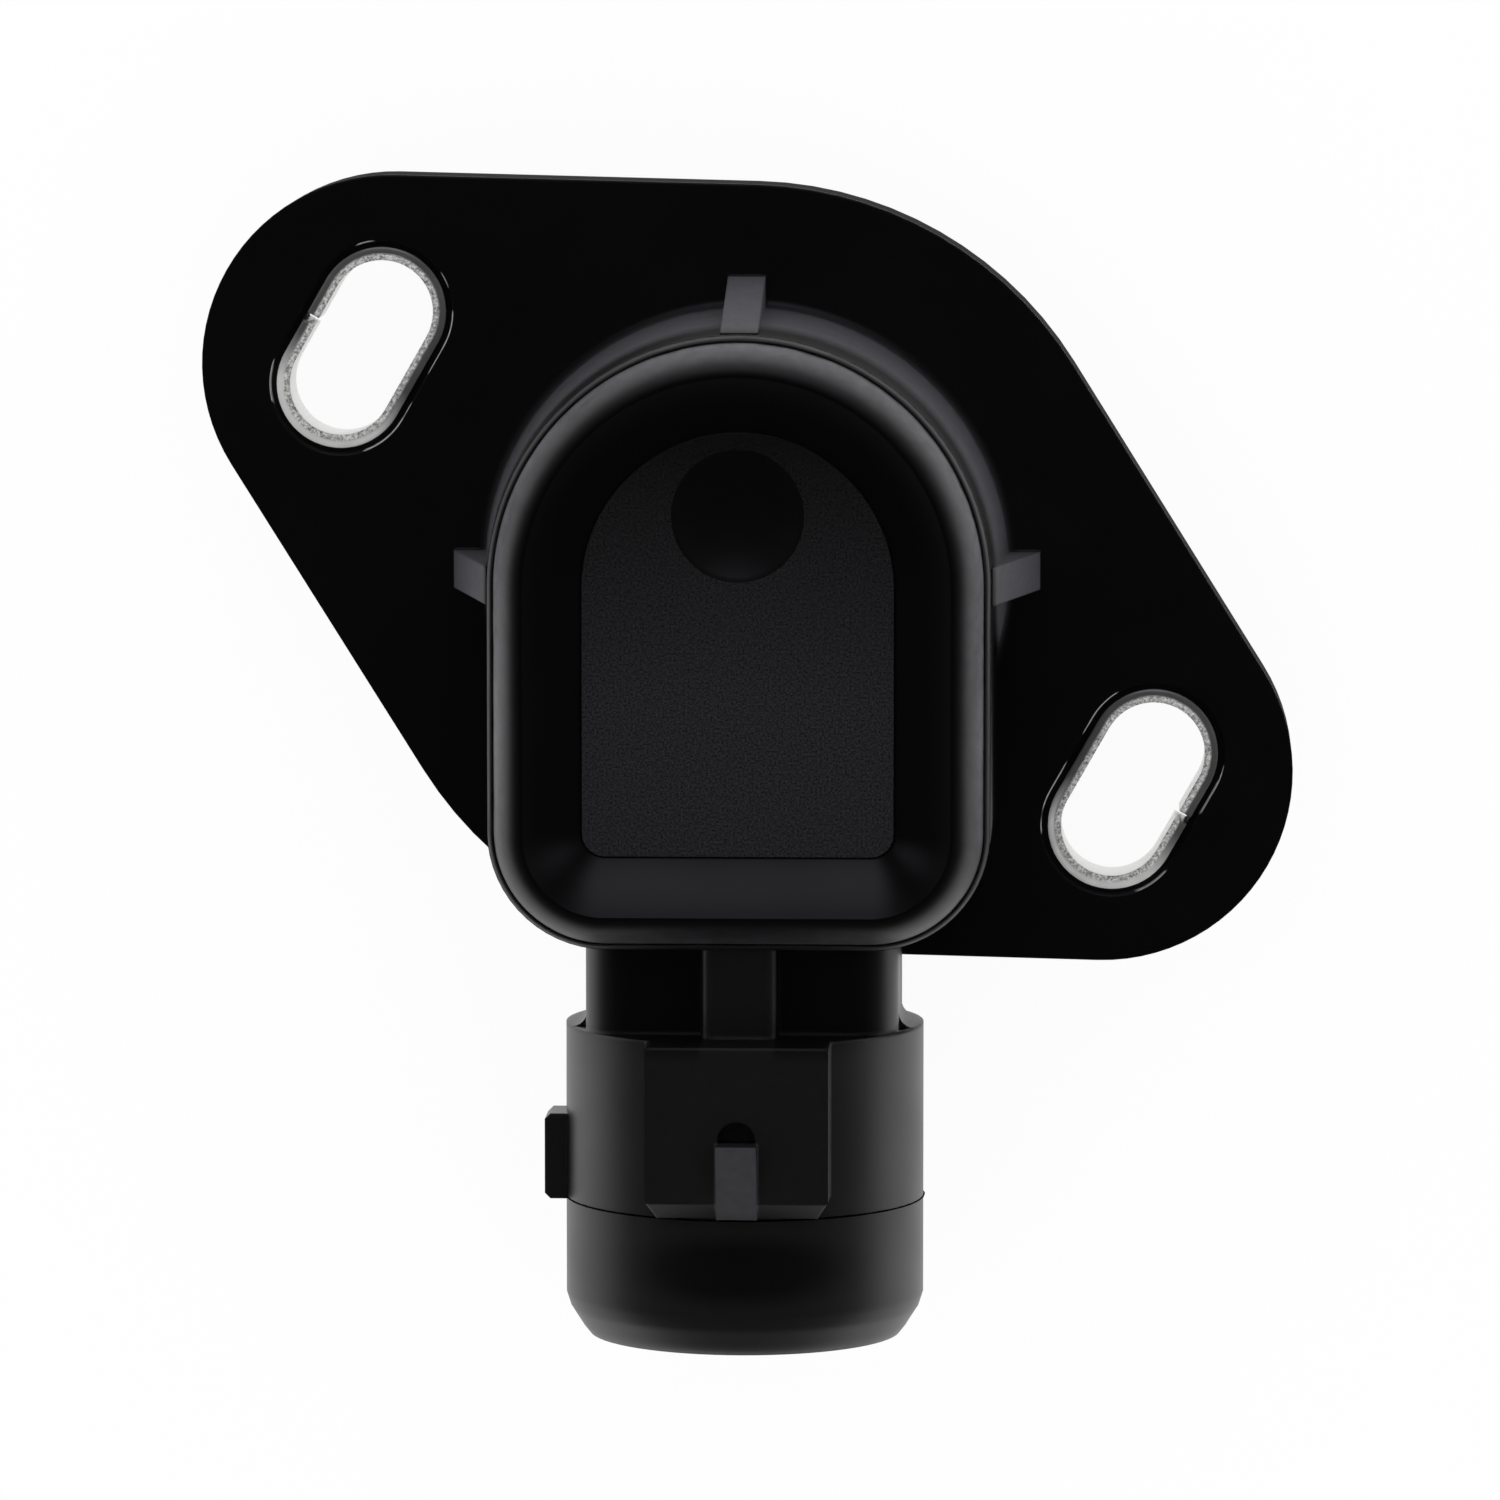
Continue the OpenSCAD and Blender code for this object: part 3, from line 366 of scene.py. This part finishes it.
def dress_bushings():
    """Steel strip, rolled to a sleeve and zinc plated: its outer edge smooth, its inner edge torn and pale.

    The torn edge's grains are drawn at 0.15 mm, as coarse as they need to be to show. The bore is burnished
    by the screw. One end of each slot is painted paler: a painted light where the light falls.
    """
    material, tree, place = new_material("rolled_zinc_plated_steel")
    away, turned = beyond_slots(tree, place)
    along = add(tree, "ShaderNodeSeparateXYZ", links={"Vector": turned}).outputs["Y"]
    torn = zone(tree, (away, BUSHING_MIDDLE_R + 0.04, BUSHING_MIDDLE_R - 0.08))
    # One end of each slot is painted paler: a painted light on the side the light falls on
    painted_light_end = zone(tree, (along, -0.2 * SLOT_TRAVEL, -0.8 * SLOT_TRAVEL))
    bore = add(tree, "ShaderNodeMath", {"operation": "MULTIPLY"}, {0: torn, 1: upright(tree)})
    pale = add(tree, "ShaderNodeMath", {"operation": "MAXIMUM"}, {0: torn, 1: painted_light_end})
    matt = add(tree, "ShaderNodeMath", {"operation": "SUBTRACT", "use_clamp": True}, {0: pale, 1: bore})

    grains = add(tree, "ShaderNodeTexNoise", {"Scale": 1 / (0.15 * MM), "Detail": 3.0, "Roughness": 0.7},
                 {"Vector": place})
    specks = add(tree, "ShaderNodeMapRange", {"From Min": 0.35, "From Max": 0.65}, {"Value": grains})
    marks = add(tree, "ShaderNodeTexNoise", {"Scale": 0.7 / MM, "Detail": 4.0}, {"Vector": place})
    colour = add(tree, "ShaderNodeMix",
                 {"data_type": "RGBA", "A": linear("#8a8a8b"), "B": linear("#b4b4b3")}, {"Factor": marks})
    for mask, pattern, dark, light in ((painted_light_end, marks, "#c6c6c5", "#f0f0ee"),
                                       (torn, specks, "#7a7a7a", "#fafaf8")):
        tone = add(tree, "ShaderNodeMix", {"data_type": "RGBA", "A": linear(dark), "B": linear(light)},
                   {"Factor": pattern})
        colour = add(tree, "ShaderNodeMix", {"data_type": "RGBA"}, {"Factor": mask, "A": colour, "B": tone})
    colour = add(tree, "ShaderNodeMix", {"data_type": "RGBA", "B": linear("#f6f6f4")},
                 {"Factor": bore, "A": colour})
    metallic = add(tree, "ShaderNodeMapRange", {"To Min": 0.85, "To Max": 0.3}, {"Value": matt})
    gloss = add(tree, "ShaderNodeMapRange", {"To Min": 0.3, "To Max": 0.5}, {"Value": torn})
    rounded = add(tree, "ShaderNodeBevel", {"samples": 8, "Radius": 0.3 * MM})
    depth = add(tree, "ShaderNodeMath", {"operation": "MULTIPLY"}, {0: torn, 1: grains})
    bump = add(tree, "ShaderNodeBump", {"Distance": 0.1 * MM}, {"Height": depth, "Normal": rounded})
    shader = add(tree, "ShaderNodeBsdfPrincipled", links={
        "Base Color": colour, "Metallic": metallic, "Roughness": gloss, "Normal": bump})
    add(tree, "ShaderNodeOutputMaterial", links={"Surface": shader})
    give(material, "bushing_left", "bushing_right")


def dress_inner_metals():
    # Brass blades under a tin coat: soft grey with a warm cast, drawn lengthwise
    tin = sheet_metal("tinned_brass", "#b9b5a6", "#d6d3c8", 0.3, (2.0, 0.15, 0.15), 0.004)
    give(tin, "terminal_left", "terminal_center", "terminal_right")
    # Phosphor bronze strip: warm, fine rolling lines
    bronze = sheet_metal("rolled_phosphor_bronze", "#b88648", "#d8aa6c", 0.28, (0.3, 4.0, 0.3), 0.002)
    give(bronze, "clip_left", "clip_center", "clip_right", "wiper")
    # Spring wire and strip, drawn and oiled: dark grey, glossy
    spring = sheet_metal("drawn_spring_steel", "#77777b", "#a2a2a6", 0.26, (1.0, 1.0, 4.0), 0.002)
    give(spring, "return_spring", "spring_washer")


def dress_bearing_bush():
    """Sintered bronze: dull brown gold with dark oil-filled pores, drawn coarser than real to show."""
    material, tree, place = new_material("sintered_bronze")
    pores = add(tree, "ShaderNodeTexVoronoi", {"Scale": 5 / MM}, {"Vector": place})
    bump = add(tree, "ShaderNodeBump", {"Distance": 0.02 * MM}, {"Height": pores})
    level = add(tree, "ShaderNodeMapRange", {"From Min": 0.05, "From Max": 0.4}, {"Value": pores})
    colour = add(tree, "ShaderNodeMix",
                 {"data_type": "RGBA", "A": linear("#5a4120"), "B": linear("#a98a55")}, {"Factor": level})
    gloss = add(tree, "ShaderNodeMapRange", {"To Min": 0.7, "To Max": 0.42}, {"Value": level})
    shader = add(tree, "ShaderNodeBsdfPrincipled", {"Metallic": 1.0},
                 {"Base Color": colour, "Roughness": gloss, "Normal": bump})
    add(tree, "ShaderNodeOutputMaterial", links={"Surface": shader})
    give(material, "bearing_bush")


def dress_board():
    """Glass cloth in pale epoxy: its threads, 0.45 mm apart, show as a faint weave."""
    material, tree, place = new_material("glass_cloth_laminate")
    parts = add(tree, "ShaderNodeSeparateXYZ", links={"Vector": place})
    waves = []
    for axis in ("X", "Y"):
        angle = add(tree, "ShaderNodeMath", {"operation": "MULTIPLY", 1: 2 * math.pi / (0.45 * MM)},
                    {0: parts.outputs[axis]})
        waves.append(add(tree, "ShaderNodeMath", {"operation": "SINE"}, {0: angle}))
    weave = add(tree, "ShaderNodeMath", {"operation": "MULTIPLY"}, {0: waves[0], 1: waves[1]})
    bump = add(tree, "ShaderNodeBump", {"Distance": 0.004 * MM}, {"Height": weave})
    level = add(tree, "ShaderNodeMapRange", {"From Min": -1.0}, {"Value": weave})
    colour = add(tree, "ShaderNodeMix",
                 {"data_type": "RGBA", "A": linear("#d2ccb4"), "B": linear("#dfdac6")}, {"Factor": level})
    gloss = add(tree, "ShaderNodeMapRange", {"To Min": 0.42, "To Max": 0.5}, {"Value": level})
    shader = add(tree, "ShaderNodeBsdfPrincipled", {"IOR": 1.55},
                 {"Base Color": colour, "Roughness": gloss, "Normal": bump})
    add(tree, "ShaderNodeOutputMaterial", links={"Surface": shader})
    give(material, "track_board")


def dress_tracks():
    # Printed carbon ink: dull black, with the screen's grain
    carbon = moulded_plastic("printed_carbon_ink", "#1b1b1c", "#2c2c2e", 0.55, 0.09, 0.004, 0)
    give(carbon, "resistor_track")
    # Printed silver ink: pale grey with a metal glint
    silver = sheet_metal("printed_silver_ink", "#9b9b97", "#c4c4c0", 0.5, (3.0, 3.0, 3.0), 0.004)
    give(silver, "collector_track")


def dress_inner_plastics():
    # Natural acetal, moulded: creamy white, waxy
    acetal = moulded_plastic("moulded_natural_acetal", "#dcd6c4", "#e6e1d2", 0.34, 0.3, 0.002, 0.1, 1.48)
    give(acetal, "rotor")
    # Low-friction sheet, punched: white and dull
    sheet = moulded_plastic("punched_low_friction_sheet", "#e4e0d6", "#efece4", 0.5, 0.2, 0.002, 0, 1.4)
    give(sheet, "thrust_washer")
    # Nitrile rubber, pressure moulded: black, soft sheen, faint dust of talc
    rubber = moulded_plastic("moulded_nitrile_rubber", "#0b0b0c", "#161617", 0.52, 0.2, 0.004, 0.05, 1.52)
    give(rubber, "o_ring", "shaft_seal")


def eroded_panel():
    """Polyester off a spark-eroded mould: an even grain, near its real 0.12 mm, and a painted light lower
    down.
    """
    material, tree, place = new_material("spark_eroded_polyester_painted_light")
    y = add(tree, "ShaderNodeSeparateXYZ", links={"Vector": place}).outputs["Y"]
    grain = add(tree, "ShaderNodeTexNoise", {"Scale": 1 / (0.12 * MM), "Detail": 2.0}, {"Vector": place})
    bump = add(tree, "ShaderNodeBump", {"Distance": 0.03 * MM}, {"Height": grain})
    specks = add(tree, "ShaderNodeMapRange", {"From Min": 0.35, "From Max": 0.65}, {"Value": grain})
    high, low = (add(tree, "ShaderNodeMix", {"data_type": "RGBA", "A": linear(dark), "B": linear(light)},
                     {"Factor": specks})
                 for dark, light in (("#030304", "#0d0c11"), ("#100f15", "#23222b")))
    # The lower part of the panel is painted paler: a painted light for the light that falls stronger there
    colour = add(tree, "ShaderNodeMix", {"data_type": "RGBA"},
                 {"Factor": zone(tree, (y, 8, -6)), "A": high, "B": low})
    shader = add(tree, "ShaderNodeBsdfPrincipled", {"IOR": 1.56, "Roughness": 0.65},
                 {"Base Color": colour, "Normal": bump})
    add(tree, "ShaderNodeOutputMaterial", links={"Surface": shader})
    return material


def rim_painted_sheen(joint_z):
    """The cover's polyester, dulled by handling to a broad soft sheen.

    The rim's foot is painted grey in specks: a painted sheen for the light that its steep rounding
    reflects.
    It is less so at its lower end, above the plug, a painted shade for the dark plug reflected there.
    """
    material, tree, place = new_material("satin_polyester_painted_sheen")
    parts = add(tree, "ShaderNodeSeparateXYZ", links={"Vector": place})
    marks = add(tree, "ShaderNodeTexNoise", {"Scale": 1.5 / MM, "Detail": 6.0}, {"Vector": place})
    grain = add(tree, "ShaderNodeTexNoise", {"Scale": 1 / (0.16 * MM), "Detail": 2.0}, {"Vector": place})
    bump = add(tree, "ShaderNodeBump", {"Distance": 0.002 * MM}, {"Height": grain})
    # Painted sheen: grey on the rim's foot, less above the plug, in random specks
    painted_sheen = zone(tree, (parts.outputs["Z"], joint_z + RIM_RISE, joint_z + 0.9))
    upper = add(tree, "ShaderNodeMapRange", {"From Min": -16 * MM, "From Max": -8 * MM, "To Min": 0.45},
                {"Value": parts.outputs["Y"]})
    specks = add(tree, "ShaderNodeMapRange", {"From Min": 0.3, "From Max": 0.7, "To Min": 0.6},
                 {"Value": marks})
    for part in (upper, specks):
        painted_sheen = add(tree, "ShaderNodeMath", {"operation": "MULTIPLY"}, {0: painted_sheen, 1: part})
    colour = add(tree, "ShaderNodeMix",
                 {"data_type": "RGBA", "A": linear("#050506"), "B": linear("#5c5b61")}, {"Factor": painted_sheen})
    shader = add(tree, "ShaderNodeBsdfPrincipled", {"IOR": 1.6, "Roughness": 0.5},
                 {"Base Color": colour, "Normal": bump})
    add(tree, "ShaderNodeOutputMaterial", links={"Surface": shader})
    return material


def outline(inset, z, arc_steps=96, corner_steps=28, side_steps=24):
    """The cover's outline moved in by a distance: a half circle over straight sides and round corners."""
    low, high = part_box("front_cover")
    half_w = high.x / MM - inset
    bottom = -low.y / MM - inset
    corner = COVER_CORNER_R - inset
    arcs = [(0, 0, half_w, 0, 180, arc_steps),
            (corner - half_w, corner - bottom, corner, 180, 270, corner_steps),
            (half_w - corner, corner - bottom, corner, 270, 360, corner_steps)]
    ring = []
    for x, y, r, start, end, steps in arcs:
        for i in range(steps + 1):
            angle = math.radians(start + (end - start) * i / steps)
            corner_point = Vector((x + r * math.cos(angle), y + r * math.sin(angle), z))
            if ring and i == 0:
                ring += [ring[-1].lerp(corner_point, k / side_steps) for k in range(1, side_steps)]
            ring.append(corner_point)
    return ring + [ring[-1].lerp(ring[0], k / side_steps) for k in range(1, side_steps)]


def circle_facing(guide, y, r, z):
    """A circle on the line x = 0 with one point toward each point of a guide ring."""
    ring = []
    for point in guide:
        angle = math.atan2(point.y - y, point.x)
        ring.append(Vector((r * math.cos(angle), y + r * math.sin(angle), z)))
    return ring


def loft(rings):
    """Points and faces of a skin over rings of equal length, with both ends closed to a point."""
    n = len(rings[0])
    points = [p * MM for ring in rings for p in ring]
    faces = []
    for level in range(len(rings) - 1):
        for i in range(n):
            j = (i + 1) % n
            faces.append((level * n + i, level * n + j, (level + 1) * n + j, (level + 1) * n + i))
    for level, flip in ((0, True), (len(rings) - 1, False)):
        centre = sum(rings[level], Vector()) / n
        points.append(centre * MM)
        tip = len(points) - 1
        for i in range(n):
            a, b = level * n + i, level * n + (i + 1) % n
            faces.append((b, a, tip) if flip else (a, b, tip))
    return points, faces


def new_piece(name, points, faces):
    mesh = bpy.data.meshes.new(name)
    mesh.from_pydata(points, [], faces)
    piece = bpy.data.objects.new(name, mesh)
    bpy.context.scene.collection.objects.link(piece)
    return piece, mesh


def cover_rings():
    """The front cover's skin, from the pivot's socket under it, over the rim, to the dimple's middle.

    Returns the rings, and the numbers of those where the rim, its crest, the panel and the dimple begin.
    """
    rim_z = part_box("front_cover")[1].z / MM
    joint_z = rim_z - RIM_RISE
    panel_z = rim_z - PANEL_DEPTH
    under_z = panel_z - COVER_T
    boss_z = under_z - BOSS_LEN
    skirt_in = outline(SKIRT_INSET + SKIRT_T, under_z)
    rings = [circle_facing(skirt_in, 0, PIVOT_R, boss_z + PIVOT_DEPTH),
             circle_facing(skirt_in, 0, PIVOT_R, boss_z),
             circle_facing(skirt_in, 0, BOSS_R, boss_z),
             circle_facing(skirt_in, 0, BOSS_R, under_z),
             skirt_in,
             outline(SKIRT_INSET + SKIRT_T, joint_z - SKIRT_LEN),
             outline(SKIRT_INSET, joint_z - SKIRT_LEN),
             outline(SKIRT_INSET, joint_z)]
    starts = {"rim": len(rings)}
    round_steps = 16
    for i in range(round_steps + 1):
        angle = math.radians(90 * i / round_steps)
        # The power leans the foot inwards a little, as the mould's draft does
        inset = RIM_ROUND * (1 - math.cos(angle)) ** 0.8
        rings.append(outline(inset, joint_z + RIM_RISE * math.sin(angle)))
    starts["crest"] = len(rings) - 1
    dish_w = PANEL_INSET - RIM_ROUND - RIM_CREST
    dish_z = panel_z - PANEL_STEP
    dish_steps = 16
    for i in range(dish_steps + 1):
        t = 1 - i / dish_steps
        height = (rim_z - dish_z) * t * (1 - DISH_CURVE + DISH_CURVE * t)
        rings.append(outline(PANEL_INSET - dish_w * t, dish_z + height))
    rings.append(outline(PANEL_INSET, panel_z - 0.04))
    starts["panel"] = len(rings)
    rings.append(outline(PANEL_INSET + 0.04, panel_z))
    starts["dimple"] = len(rings)
    guide = rings[-1]
    sphere_r = (DIMPLE_R ** 2 + DIMPLE_DEPTH ** 2) / (2 * DIMPLE_DEPTH)
    dimple_steps = 12
    for i in range(dimple_steps):
        r = DIMPLE_R * (1 - i / dimple_steps)
        depth = DIMPLE_DEPTH - sphere_r + math.sqrt(sphere_r ** 2 - r ** 2)
        rings.append(circle_facing(guide, DIMPLE_Y, r, panel_z - depth))
    return rings, starts


def cover_posts():
    """The four posts under the cover that hold the track board down."""
    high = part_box("front_cover")[1]
    post_in = high.x / MM - SKIRT_INSET - SKIRT_T - POST_R - POST_GAP
    under_z = high.z / MM - PANEL_DEPTH - COVER_T
    high_angle = math.radians(POST_HIGH_DEG)
    posts = []
    for side in (-1, 1):
        for x, y in ((side * (post_in - POST_R), POST_LOW_Y),
                     (side * post_in * math.cos(high_angle), post_in * math.sin(high_angle))):
            circle = [(x + POST_R * math.cos(a), y + POST_R * math.sin(a))
                      for a in (2 * math.pi * k / 24 for k in range(24))]
            levels = [[Vector((*point, z)) for point in circle] for z in (BOARD_TOP_Z, under_z + 0.3)]
            posts.append(loft(levels))
    return posts


def make_front_cover():
    """The cover as a smooth skin over finer steps than the solid's, with its own four finishes."""
    rings, starts = cover_rings()
    points, faces = loft(rings)
    for post_points, post_faces in cover_posts():
        start = len(points)
        points += post_points
        faces += [tuple(start + k for k in face) for face in post_faces]
    cover, mesh = new_piece("front_cover_skin", points, faces)
    # Polyester from a polished mould: near black and satin
    satin = moulded_plastic("moulded_satin_polyester", "#030304", "#040405", 0.34, 0.16, 0.001, 0.08)
    # The dimple's mould pin was turned smooth
    pin = moulded_plastic("pin_moulded_polyester", "#040405", "#060608", 0.42, 0.14, 0.003, 0)
    rim = rim_painted_sheen(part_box("front_cover")[1].z / MM - RIM_RISE)
    for material in (satin, eroded_panel(), pin, rim):
        mesh.materials.append(material)
    on_panel, on_dimple, on_rim = 1, 2, 3
    n = len(rings[0])
    skin_faces = (len(rings) - 1) * n
    # After the skin's faces come the fans that close its first and its last ring, and then the posts
    last_fan = range(skin_faces + n, skin_faces + 2 * n)
    for index, face in enumerate(mesh.polygons):
        level = index // n
        if starts["rim"] <= level < starts["crest"]:
            face.material_index = on_rim
        elif starts["panel"] <= level < starts["dimple"]:
            face.material_index = on_panel
        elif starts["dimple"] <= level and (index < skin_faces or index in last_fan):
            face.material_index = on_dimple
        face.use_smooth = True
    mesh.set_sharp_from_angle(angle=math.radians(35))
    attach(cover, "sensor_body")
    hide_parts("front_cover")


def make_weld_bead():
    """The dome wall's edge beside the cover, raised to a small uneven bead by the cover's welding."""
    random.seed(3)
    joint_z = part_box("front_cover")[1].z / MM - RIM_RISE
    # How far out of the cover's foot each point lies, and how high over the joint
    section = [(WALL_STEP, -0.5), (WALL_STEP, -0.12), (WALL_STEP - 0.02, 0.0),
               (WALL_STEP - 0.08, 0.36 * BEAD_H), (WALL_STEP - 0.15, 0.7 * BEAD_H),
               (WALL_STEP - 0.23, 0.94 * BEAD_H), (0.07, BEAD_H), (0.03, 0.85 * BEAD_H),
               (-0.01, 0.6 * BEAD_H), (-0.01, -0.5)]
    crest = range(4, 7)
    levels = [outline(-out, joint_z + up) for out, up in section]
    n = len(levels[0])
    rough = [random.uniform(-0.05, 0.05) + (0.15 if random.random() < 0.05 else 0) for i in range(n)]
    bumps = [(rough[i - 2] + 2 * rough[i - 1] + rough[i]) / 4 for i in range(n)]
    points = []
    for k, level in enumerate(levels):
        points += [(p + Vector((0, 0, bumps[i] if k in crest else 0))) * MM for i, p in enumerate(level)]
    faces = []
    for k in range(len(levels)):
        for i in range(n):
            a, b, j = k * n, (k + 1) % len(levels) * n, (i + 1) % n
            faces.append((a + i, a + j, b + j, b + i))
    bead, mesh = new_piece("weld_bead", points, faces)
    # Flash pressed out of the joint: dull, with a coarser skin than a moulded face
    flash = moulded_plastic("welded_polyester_flash", "#121214", "#1c1c1f", 0.45, 0.3, 0.004, 0)
    mesh.materials.append(flash)
    for face in mesh.polygons:
        face.use_smooth = True
    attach(bead, "sensor_body")


def make_parting_line():
    """The thin ridge that the two halves of the mould left round the plug shroud, a little uneven."""
    random.seed(7)
    steps = 120
    rings = []
    for i in range(steps):
        angle = 2 * math.pi * i / steps
        out = Vector((math.cos(angle), 0, math.sin(angle)))
        height = PARTING_H * random.uniform(0.7, 1.3)
        foot = Vector((0, PAD_END_Y - 0.2, SHROUD_Z)) + out * (SHROUD_R - 0.05)
        step = Vector((0, 0.08, 0))
        rings.append([foot - step, foot + out * (0.05 + height), foot + step])
    points = [p * MM for ring in rings for p in ring]
    faces = []
    for i in range(steps):
        for k in range(3):
            a, b = 3 * i, 3 * ((i + 1) % steps)
            faces.append((a + k, a + (k + 1) % 3, b + (k + 1) % 3, b + k))
    ridge, mesh = new_piece("parting_line", points, faces)
    # Near black, with its reflection cut by a low IOR: painted shade for the thin shadow along the ridge
    mesh.materials.append(moulded_plastic("parting_ridge_painted_shade", "#010101", "#030303", 0.85, 0.1, 0.004, 0, 1.08))
    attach(ridge, "sensor_body")


def make_camera():
    """The camera stands where the photograph's did: nearly above, leaning to the flange's top and right."""
    back = Vector((math.tan(math.radians(CAMERA_LEAN_X_DEG)), math.tan(math.radians(CAMERA_LEAN_Y_DEG)), 1))
    back.normalize()
    right = Vector((0, 1, 0)).cross(back).normalized()
    data = bpy.data.cameras.new("photo_camera")
    data.sensor_width = SENSOR_MM
    data.lens = SENSOR_MM * FOCAL_PIXELS / PHOTO_PIXELS
    data.clip_start, data.clip_end = 0.01, 10
    camera = bpy.data.objects.new("photo_camera", data)
    place = (Vector(CAMERA_TARGET) + back * CAMERA_DISTANCE) * MM
    turn = Matrix((right, back.cross(right), back)).transposed().to_4x4()
    camera.matrix_world = Matrix.Translation(place) @ turn
    bpy.context.scene.collection.objects.link(camera)
    bpy.context.scene.camera = camera


def make_floor():
    """A lit white table. It glows to the camera and in reflections, and keeps a part of the shadow."""
    half = 1.5
    low = cad_low.z - 0.02 * MM
    corners = [(-half, -half, low), (half, -half, low), (half, half, low), (-half, half, low)]
    floor, mesh = new_piece("floor", corners, [(0, 1, 2, 3)])
    material, tree, place = new_material("lit_white_table")
    material.cycles.emission_sampling = "NONE"
    path = add(tree, "ShaderNodeLightPath")
    # In reflections the lit part of the table ends softly, within a hand's width of the object
    far = add(tree, "ShaderNodeVectorMath", {"operation": "LENGTH"}, {0: place})
    lit = add(tree, "ShaderNodeMapRange", {"From Min": 280 * MM, "From Max": 100 * MM, "To Min": 0.25},
              {"Value": far})
    to_camera = path.outputs["Is Camera Ray"]
    glow_level = add(tree, "ShaderNodeMath", {"operation": "MAXIMUM"}, {0: to_camera, 1: lit})
    glow = add(tree, "ShaderNodeEmission", {"Color": linear("#ffffff")}, {"Strength": glow_level})
    paper = add(tree, "ShaderNodeBsdfDiffuse", {"Color": linear("#fcfcfc")})
    seen = add(tree, "ShaderNodeMath", {"operation": "MULTIPLY", 1: 0.94}, {0: to_camera})
    mirrored = add(tree, "ShaderNodeMath", {"operation": "MAXIMUM"},
                   {0: path.outputs["Is Glossy Ray"], 1: path.outputs["Is Transmission Ray"]})
    share = add(tree, "ShaderNodeMath", {"operation": "MAXIMUM"}, {0: seen, 1: mirrored})
    both = add(tree, "ShaderNodeMixShader", links={0: share, 1: paper, 2: glow})
    add(tree, "ShaderNodeOutputMaterial", links={"Surface": both})
    mesh.materials.append(material)


def soft_panel(tree, direction, azimuth_deg, elevation_deg, inner_deg, outer_deg, level):
    """The light of a round soft panel in a direction, full inside inner_deg and none past outer_deg."""
    flat = math.cos(math.radians(elevation_deg))
    aim = (flat * math.sin(math.radians(azimuth_deg)), flat * math.cos(math.radians(azimuth_deg)),
           math.sin(math.radians(elevation_deg)))
    toward = add(tree, "ShaderNodeVectorMath", {"operation": "DOT_PRODUCT", 1: aim}, {0: direction})
    return add(tree, "ShaderNodeMapRange",
               {"interpolation_type": "SMOOTHSTEP", "From Min": math.cos(math.radians(outer_deg)),
                "From Max": math.cos(math.radians(inner_deg)), "To Min": 0.0, "To Max": level},
               {"Value": toward})


def make_world():
    """Plain even light for every colour. Gloss shows a dark room, a pale horizon and three soft panels."""
    world = bpy.data.worlds.new("studio")
    bpy.context.scene.world = world
    world.use_nodes = True
    world.cycles.sampling_method = "NONE"
    tree = world.node_tree
    tree.nodes.clear()
    direction = add(tree, "ShaderNodeTexCoord").outputs["Generated"]
    height = add(tree, "ShaderNodeSeparateXYZ", links={"Vector": direction}).outputs["Z"]
    room = add(tree, "ShaderNodeMapRange", {"From Max": 0.14, "To Min": 0.3, "To Max": 0.012},
               {"Value": height})
    for azimuth, elevation, inner, outer, level in PANELS:
        panel = soft_panel(tree, direction, azimuth, elevation, inner, outer, level)
        room = add(tree, "ShaderNodeMath", {"operation": "ADD"}, {0: room, 1: panel})
    mirrored = add(tree, "ShaderNodeBackground", {"Color": linear("#f3f1ff")}, {"Strength": room})
    even = add(tree, "ShaderNodeBackground", {"Color": linear("#ffffff"), "Strength": 1.0})
    path = add(tree, "ShaderNodeLightPath")
    both = add(tree, "ShaderNodeMixShader", links={0: path.outputs["Is Glossy Ray"], 1: even, 2: mirrored})
    add(tree, "ShaderNodeOutputWorld", links={"Surface": both})


dress_housing()
dress_bushings()
dress_inner_metals()
dress_bearing_bush()
dress_board()
dress_tracks()
dress_inner_plastics()
make_front_cover()
make_weld_bead()
make_parting_line()
make_camera()
make_floor()
make_world()
bpy.context.scene.view_settings.view_transform = "Standard"
